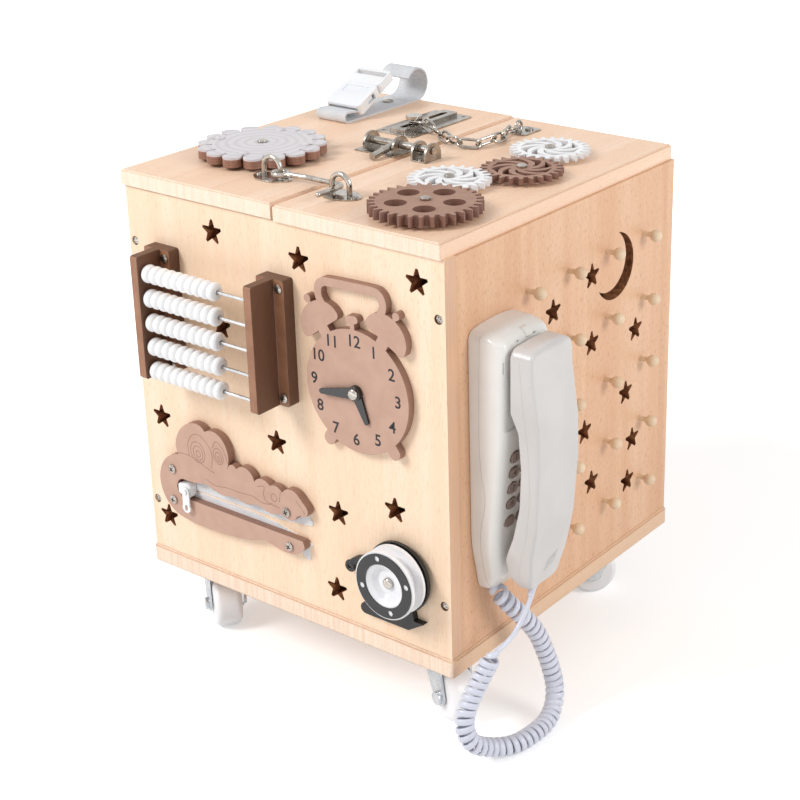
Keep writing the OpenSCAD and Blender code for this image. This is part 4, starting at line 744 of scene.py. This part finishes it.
# The brackets' faces that don't look to the front take a darker tone as painted shade.
bracket_paint = painted("stained_brown", (162, 114, 84), (142, 96, 68), 0.5, 0.0012, grain=3,
                        core_and_shade=(1, (84, 54, 37)))
mauve = painted("matte_mauve_brown", (200, 163, 144), (192, 153, 134), 0.62, 0.0006,
                core_and_shade=(1, (140, 104, 88)))
# The gears' rims take a darker tone as painted shade.
gear_brown = painted("gear_brown", (168, 130, 110), (152, 114, 95), 0.6, 0.0005, core_and_shade=(2, (124, 88, 76)))
gear_white = painted("gear_white", (246, 246, 246), (236, 236, 238), 0.5, 0.0005, core_and_shade=(2, (226, 226, 228)))
# Each metal's second, darker tone is its painted reflection.
zinc = metal("nickel_plate", (186, 180, 172), (140, 134, 127), 0.22)
fork_zinc = metal("zinc_plate", (206, 210, 214), (176, 182, 188), 0.3)
chrome = metal("bright_nickel", (200, 194, 187), (146, 140, 132), 0.12)
rod_steel = metal("drawn_steel", (206, 206, 206), (180, 180, 182), 0.22, stretch=(0.05, 1, 1))
white_plastic = plastic("white_plastic", (247, 247, 247), (240, 240, 242), 0.3, coat=0.2)
bead_plastic = plastic("bead_plastic", (250, 250, 250), (244, 244, 245), 0.28, 0.0003, coat=0.3)
cream = plastic("cream_plastic", (234, 231, 227), (228, 225, 220), 0.34, 0.0, coat=0.25)
cream_hand = plastic("cream_handset", (207, 203, 201), (201, 197, 194), 0.34, 0.0, coat=0.25)
taupe = plastic("taupe_keys", (158, 136, 128), (146, 124, 116), 0.3, 0.0006, coat=0.3)
key_ink = plastic("key_ink", (52, 40, 36), (44, 34, 30), 0.5, 0.0)
black = plastic("gloss_black", (14, 14, 16), (9, 9, 11), 0.22, 0.0003, coat=0.4)
ink = plastic("printed_black", (34, 32, 33), (28, 26, 27), 0.6, 0.0)
line_ink = plastic("engraved_line", (158, 124, 108), (150, 116, 100), 0.8, 0.0)
dark_plastic = plastic("dark_frame", (16, 16, 17), (11, 11, 12), 0.4, 0.0005, coat=0.1)
cord_mat = plastic("cord_grey", (217, 220, 232), (210, 213, 226), 0.32, 0.0, coat=0.2)
buckle_mat = plastic("milky_plastic", (240, 241, 243), (233, 235, 238), 0.25, 0.0006, through=0.25, coat=0.3)
strap_mat = woven("grey_webbing", (228, 229, 232), (200, 203, 208), 0, 1)
tape_mat = woven("zip_tape", (248, 248, 248), (232, 233, 236), 2, 0, 0.0009, 0.25)
# Dark colour of the screws' cross recesses: painted shade.
recess_shade_mat = metal("screw_recess_shade", (70, 66, 62), (48, 45, 42), 0.45, 0.0)
caster_white = plastic("caster_tread", (250, 250, 251), (244, 244, 246), 0.38, 0.0008, through=0.05, coat=0.1)


SPOOL_WOUND = (-0.1648, -0.1556)   # Y of the wound line, front flange to back flange
SPOOL_RING_Y = -0.16728            # what stands in front of this is the dark ring
WHEEL_MID = (-0.090, -0.059)       # the scalloped wheel's axle
WHEEL_FROM, WHEEL_CAP, PLY = 0.3865, 0.39252, 0.002


def spool_material():
    """White spool with a dark ring on its front and line wound between its flanges."""
    s = Shade("spool_plastic", rough=0.33)
    flow = s.noise(30, (1, 1, 1), 2, 0.5)
    line = s.node("TexWave", wave_type="BANDS", bands_direction="Y")
    s.put(line.inputs["Vector"], s.coords())
    line.inputs["Scale"].default_value = 480
    line.inputs["Distortion"].default_value = 0.6
    y = s.place()[1]
    white = s.mix(s.spread(flow, 0.35, 0.65), (246, 246, 247), (236, 236, 240))
    wound = s.within(y, *SPOOL_WOUND)
    turns = s.spread(line.outputs["Fac"], 0.1, 0.9, 0, 0.25)
    white = s.mix(s.math("MULTIPLY", wound, turns), white, (196, 196, 204))
    ring = s.math("LESS_THAN", y, SPOOL_RING_Y)
    s.set(Base_Color=s.mix(ring, white, (20, 20, 22)), Coat_Weight=0.2)
    s.relief(s.math("MULTIPLY", wound, line.outputs["Fac"]), 0.0003, 0.5, 0.0004)
    return s.mat


def scallop_material():
    """Brown layers with dark glue lines below a pale printed cap with faint rings."""
    s = Shade("scalloped_layers", rough=0.5)
    x, y, z = s.place()
    dx, dy = s.math("ADD", x, -WHEEL_MID[0]), s.math("ADD", y, -WHEEL_MID[1])
    wobble = s.noise(24, (1, 1, 1), 2, 0.5)
    far = s.math("SQRT", s.math("ADD", s.math("MULTIPLY", dx, dx), s.math("MULTIPLY", dy, dy)))
    rings = s.math("SINE", s.math("MULTIPLY", s.math("MULTIPLY_ADD", wobble, 0.012, far), 820))
    cap = s.mix(s.spread(rings, -0.2, 1.0, 0, 0.75), (216, 212, 214), (198, 193, 199))
    cap = s.mix(s.spread(s.noise(120, (1, 0.2, 1), 3, 0.6), 0.5, 0.75, 0, 0.4), cap, (196, 188, 192))
    grain = s.noise(300, (1, 1, 0.2), 2, 0.6)
    brown = s.mix(s.spread(grain, 0.35, 0.7), (158, 116, 98), (134, 94, 78))
    ply = s.math("FRACT", s.math("DIVIDE", s.math("SUBTRACT", z, WHEEL_FROM), PLY))
    brown = s.mix(s.math("MULTIPLY", s.math("LESS_THAN", ply, 0.14), 0.6), brown, (86, 58, 46))
    on_cap = s.math("GREATER_THAN", z, WHEEL_CAP)
    s.set(Base_Color=s.mix(on_cap, brown, cap), Coat_Weight=0.15)
    s.relief(grain, 0.0001, 0.5, 0.0005)
    return s.mat


SMOOTH_BELOW = 32              # degrees between faces that shade as one
FLAT_NODES = ("front_panel", "back_panel", "left_panel", "right_panel", "fixed_top_leaf", "lid_leaf")
NODE_MATERIALS = {
    "base_board": base_wood, "front_panel": front_wood_lit, "back_panel": side_wood_shaded, "left_panel": side_wood_shaded,
    "right_panel": side_wood_shaded, "fixed_top_leaf": top_wood, "lid_leaf": top_wood, "cabinet_screws": zinc,
    "threading_pegs": peg_wood, "abacus_brackets": bracket_paint, "abacus_rods": rod_steel,
    "clock_face": mauve, "crocodile_plate": mauve, "zipper_tapes": tape_mat, "reel_frame": dark_plastic,
    "phone_base": cream, "phone_cord": cord_mat, "caster_plates": fork_zinc, "gear_axles": chrome,
    "hinge_leaves_fixed": zinc, "hook_eye_fixed": chrome, "bolt_keeper": zinc, "chain_anchor": zinc,
    "hinge_leaves_lid": zinc, "hook_eye_lid": chrome, "bolt_plate": zinc, "chain_track": zinc,
    "strap_webbing": strap_mat, "buckle_socket": buckle_mat, "lid_screws": chrome, "chain_links": chrome,
    "clock_hour_hand": black, "clock_minute_hand": black, "zipper_slider": white_plastic,
    "zipper_pull": white_plastic, "reel_spool": spool_material(), "phone_handset": cream_hand,
    "phone_keys": taupe, "cabin_hook": chrome, "bolt_rod": chrome, "chain_knob": chrome,
    "scalloped_gear": scallop_material(), "gear_2": gear_white, "gear_3": gear_brown, "gear_4": gear_white,
    "buckle_plug": buckle_mat, "gear_1_large": gear_brown,
}
for i in range(1, 6):
    NODE_MATERIALS[f"abacus_beads_row_{i}"] = bead_plastic
for i in range(1, 5):
    NODE_MATERIALS[f"caster_fork_{i}"] = fork_zinc
    NODE_MATERIALS[f"caster_wheel_{i}"] = caster_white
for name, mat in NODE_MATERIALS.items():
    o = nodes[name]
    o.data.materials.clear()
    o.data.materials.append(mat)
    if name not in FLAT_NODES:
        o.data.polygons.foreach_set("use_smooth", [True] * len(o.data.polygons))
        o.data.set_sharp_from_angle(angle=math.radians(SMOOTH_BELOW))

# ---------- pieces ----------
cord, cord_path, cord_length = lay_cord(cord_mat)
relief_base = boot("cord_relief_base", right(8.4, 36.4, 50), (0.3, 0.2, -0.93), 7, 6.4, 4.6,
                   "cabinet", cord_mat)
relief_hand = boot("cord_relief_handset", right(36.5, 48.6, 51.5), (-0.04, -0.42, -0.9), 9, 6.2, 4.2,
                   "phone_handset", cord_mat)
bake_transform(cord)


BASE_SEAM = [(10, 242), (9.6, 225), (9, 200), (8.7, 165), (10, 142), (12.8, 126), (12.6, 114), (9.4, 99),
             (8.2, 80), (8.6, 58), (10.5, 47)]
HANDSET_SEAM = [(40, 230), (42.5, 200), (47, 165), (48, 135), (44.5, 100), (38, 76), (35, 62)]
seam_mat = plastic("cream_seam", (198, 190, 178), (192, 184, 172), 0.6, 0.0)


def phone_shell(name, field, low, high, body, mat, node):
    """The surface of a distance field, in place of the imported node."""
    v, f = surface_of(field, low, high, 0.85)
    shell = piece(name, [right(*q) for q in v], f, body, mat)
    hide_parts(node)


def phone_seam(name, field, points, near, far, body, width):
    """Parting lines along both sides of a shell, from the faces at near and far across."""
    seam = spline(points, 6)
    lines = Many()
    for y0, dy in ((near, 1), (far, -1)):
        v, f = seam_line(field, [(d, y0, z) for d, z in seam], (0, dy, 0), width)
        lines.add([right(*q) for q in v], f)
    piece(name, lines.verts, lines.faces, body, seam_mat)


phone_shell("phone_base_shell", phone_base, (-0.6, 21, 35.5), (34, 81, 251), "cabinet", cream, "phone_base")
phone_shell("phone_handset_shell", handset, (22, 24, 47), (58, 78, 241), "phone_handset", cream_hand,
            "phone_handset")
phone_seam("phone_base_seam", phone_base, BASE_SEAM, 10, 92, "cabinet", 0.45)
phone_seam("phone_handset_seam", handset, HANDSET_SEAM, 16, 86, "phone_handset", 0.35)


def lettering(name, items, body, mat, raise_by, bold=0.0):
    """Printed characters: items hold (text, size, 4x4 matrix in mm)."""
    parts = Many()
    for text, size, place in items:
        curve = bpy.data.curves.new("t", "FONT")
        curve.body, curve.size, curve.align_x, curve.align_y = text, size, "CENTER", "CENTER"
        curve.extrude, curve.resolution_u, curve.offset = raise_by, 4, bold * size
        o = bpy.data.objects.new("t", curve)
        bpy.context.scene.collection.objects.link(o)
        bpy.context.view_layer.update()
        mesh = bpy.data.meshes.new_from_object(o.evaluated_get(bpy.context.evaluated_depsgraph_get()))
        parts.add([place @ v.co for v in mesh.vertices], [p.vertices for p in mesh.polygons])
        bpy.data.objects.remove(o)
    return piece(name, parts.verts, parts.faces, body, mat, smooth=False)


def front_matrix(x, z, out):
    """Upright on the front panel, out of it."""
    return Matrix.Translation(Vector(front(x, z, out))) @ Matrix.Rotation(math.radians(90), 4, "X")


CLOCK_X, CLOCK_Z, CLOCK_TILT = 225.5, 191, 2.5
# Middle of each numeral from the clock's middle, before the clock's tilt
NUMERALS = {12: (0.4, 37.2), 11: (-19.9, 33.8), 10: (-33.7, 21.2), 9: (-38.9, 2.9), 8: (-35.3, -16.9),
            7: (-22.3, -31.7), 6: (-3.7, -36.8), 5: (16.2, -33.1), 4: (30.2, -20.2), 3: (36.6, -0.7),
            2: (32.5, 18.6), 1: (17.8, 32.1)}


def on_clock(x, z):
    """A point from the clock's middle as a point on the front panel."""
    c, d = math.cos(math.radians(CLOCK_TILT)), math.sin(math.radians(CLOCK_TILT))
    return CLOCK_X + c * x - d * z, CLOCK_Z + d * x + c * z


CLOCK_TYPE, KEY_TYPE, STAR_TYPE, STAR_DROP = 12.4, 6.6, 10, 1.6
KEY_FRONT = 1.44               # the keys' fronts, out of the leaning face
PRINT = 0.05                   # how far printing stands off its ground
numerals = [(str(n), CLOCK_TYPE, front_matrix(*on_clock(x, z), PLATE_OUT + PRINT))
            for n, (x, z) in NUMERALS.items()]
lettering("clock_numerals", numerals, "cabinet", ink, 0.06, bold=0.012)
KEY_LABELS = ["123", "456", "789", "*0#"]


def key_matrix(out, y, up):
    """On the base's leaning front: out of it, across from the phone's middle and up it."""
    lean = Matrix.Rotation(LEAN, 4, "Y")
    face = Matrix.Rotation(math.radians(90), 4, "Z") @ Matrix.Rotation(math.radians(90), 4, "X")
    top = Matrix.Translation(Vector(right(FACE_OUT, PHONE_MID, FACE_Z)))
    return top @ lean @ Matrix.Translation((out, y, up)) @ face


def key_label(r, c):
    """(text, size, place) of a key's character; the star is set larger and lower."""
    star = KEY_LABELS[r][c] == "*"
    place = key_matrix(KEY_FRONT, KEY_COLUMNS[c], KEY_ROWS[r] - (STAR_DROP if star else 0))
    return KEY_LABELS[r][c], STAR_TYPE if star else KEY_TYPE, place


lettering("key_numerals", [key_label(r, c) for r in range(4) for c in range(3)], "phone_keys", key_ink,
          0.05)
# Plain field below the keys
field = [key_matrix(0.12, y, z) @ Vector((0, 0, 0))
         for y, z in ((-19, -81), (19, -81), (19, -90), (-19, -90))]
piece("phone_label_field", field, [(0, 1, 2, 3)], "cabinet", taupe, smooth=False)


def dome(name, at, d, h, base, body, mat):
    """A turned cap standing out of the front panel: base is its foot's distance out."""
    a = np.linspace(0, 2 * np.pi, 28, endpoint=False)
    profile = [(1, 0), (1, 0.4), (0.93, 0.66), (0.78, 0.85), (0.5, 0.97), (0.2, 1)]
    verts = [front(at[0] + d / 2 * r * math.cos(t), at[1] + d / 2 * r * math.sin(t), base + h * k)
             for r, k in profile for t in a]
    n = len(a)
    faces = [(i * n + j, i * n + (j + 1) % n, (i + 1) * n + (j + 1) % n, (i + 1) * n + j)
             for i in range(len(profile) - 1) for j in range(n)]
    faces += [tuple(range(n)), tuple(range((len(profile) - 1) * n, len(profile) * n))]
    return piece(name, verts, faces, body, mat)


REEL_AT = (257.7, 56.6)
dome("clock_pivot_cap", (CLOCK_X, CLOCK_Z), 8.5, 2.8, 9.7, "clock_minute_hand", chrome)
dome("reel_axle_cap", REEL_AT, 8.4, 2.7, 16.95, "cabinet", chrome)


# ---------- engraved lines of the crocodile ----------
def ring_points(x, z, a, b, turn=0.0):
    """An ellipse of half sizes a and b about (x, z), turned by turn degrees."""
    t = np.radians(np.linspace(0, 360, 25))
    c, s = math.cos(math.radians(turn)), math.sin(math.radians(turn))
    u, v = a * np.cos(t), b * np.sin(t)
    return [(x + c * p - s * q, z + s * p + c * q) for p, q in zip(u, v)]


def engraved(name, lines, out, mat):
    """Fine lines laid on a plate on the front panel."""
    parts = Many()
    for pts in lines:
        p = np.array([front(x, z, out) for x, z in pts])
        _, n, b = frames(p, (0, 1, 0))
        parts.add(*sweep(p, n, b, oval(0.12, 0.55, 8)))
    return piece(name, parts.verts, parts.faces, "cabinet", mat)


CROC_LINES = [
    spline([(54, 96), (53.1, 104.3), (56.3, 111.5), (60.7, 115.3), (67.4, 115.5), (74.8, 110.2), (78.8, 103),
            (77.5, 91.5)], 6),
    ring_points(63.5, 101, 7.5, 8.6, 12),
    ring_points(63.8, 100.4, 5.0, 5.8, 12),
    ring_points(64, 99.8, 2.2, 2.8, 12),
    spline([(79.4, 108.5), (81.9, 113.8), (85.2, 115.4), (89.5, 112.2), (92.9, 106.9), (95, 100.5)], 6),
    ring_points(85.4, 103.4, 5.0, 6.6, 14),
    ring_points(85.6, 102.6, 3.1, 4.2, 14),
    ring_points(85.8, 101.8, 1.2, 1.8, 14),
    spline([(38.5, 93.6), (46, 95.6), (55, 95.2), (64, 93), (72, 90), (80, 88.2)], 6),
    spline([(70, 80.5), (79.6, 77.6), (93, 79.2), (106, 79.2), (119, 80), (129, 77.4), (139.2, 78.7),
            (146.5, 78.2)], 6),
    spline([(125, 89.8), (131.6, 91.6), (130.6, 84.8), (133.4, 79.6), (139.3, 79.8)], 6),
    ring_points(141.2, 85.3, 3.0, 3.0),
    spline([(148, 92), (147.2, 87.5), (146.2, 83)], 6),
    spline([(163, 89.5), (166.5, 86), (169, 83.5), (171.5, 80.5)], 5),
]
CROC_OUT = 7.4                 # front face of the crocodile's plate
engraved("crocodile_lines", CROC_LINES, CROC_OUT + 0.02, line_ink)


# ---------- screws' cross recesses, as dark blocks of painted shade ---
CROSS = 0.27, 0.055            # half length and half width of a cross's arms, for the head's diameter
CROSS_IN, CROSS_OUT = 0.8, 0.10
BOX_FACES = [(0, 1, 2, 3), (4, 7, 6, 5), (0, 4, 5, 1), (1, 5, 6, 2), (2, 6, 7, 3), (3, 7, 4, 0)]


def crosses(name, places, body):
    """Dark blocks of painted shade in the screws' cross recesses: places hold (point on the head's crown,
    direction, head's diameter, turn in degrees).
    """
    parts = Many()
    for point, axis, d, turn in places:
        z = Vector(axis).normalized()
        x = z.orthogonal().normalized()
        x = Matrix.Rotation(math.radians(turn), 3, z) @ x
        y = z.cross(x)
        arm, half = d * CROSS[0], d * CROSS[1]
        for a, b in ((x, y), (y, x)):
            corner = [(arm, half), (-arm, half), (-arm, -half), (arm, -half)]
            v = [Vector(point) + a * p + b * q + z * h for h in (-CROSS_IN, CROSS_OUT) for p, q in corner]
            parts.add(v, BOX_FACES)
    return piece(name, parts.verts, parts.faces, body, recess_shade_mat, smooth=False)


PANEL_HEAD, TOY_HEAD = 6.4, 7    # diameters of the screws' heads
PANEL_CROWN, TOY_CROWN = -0.3, 2.1
PANEL_SCREWS = [(x, z) for x in (6, 294) for z in (42, 258)]
BRACKET_SCREWS = [(x, z) for x in (47.25, 160.25) for z in (171.5, 254.5)]
CROC_SCREWS = [(34.3, 79), (33.2, 52.3), (153.6, 77.2), (154.6, 49)]
ahead, behind = (0, -1, 0), (0, 1, 0)
panel_screws = [(front(x, z, PANEL_CROWN), ahead, PANEL_HEAD, 20 * i)
                for i, (x, z) in enumerate(PANEL_SCREWS)]
back_screws = [((LEFT_X + x, BACK_Y + PANEL_CROWN, PANEL_Z + z), behind, PANEL_HEAD, 30)
               for x, z in PANEL_SCREWS]
bracket_screws = [(front(x, z, BRACKET_OUT + TOY_CROWN), ahead, TOY_HEAD, 10 + 25 * i)
                  for i, (x, z) in enumerate(BRACKET_SCREWS)]
croc_screws = [(front(x, z, CROC_OUT + TOY_CROWN), ahead, TOY_HEAD, 35 * i)
               for i, (x, z) in enumerate(CROC_SCREWS)]
crosses("cabinet_recess_shade", panel_screws + back_screws + bracket_screws + croc_screws, "cabinet")
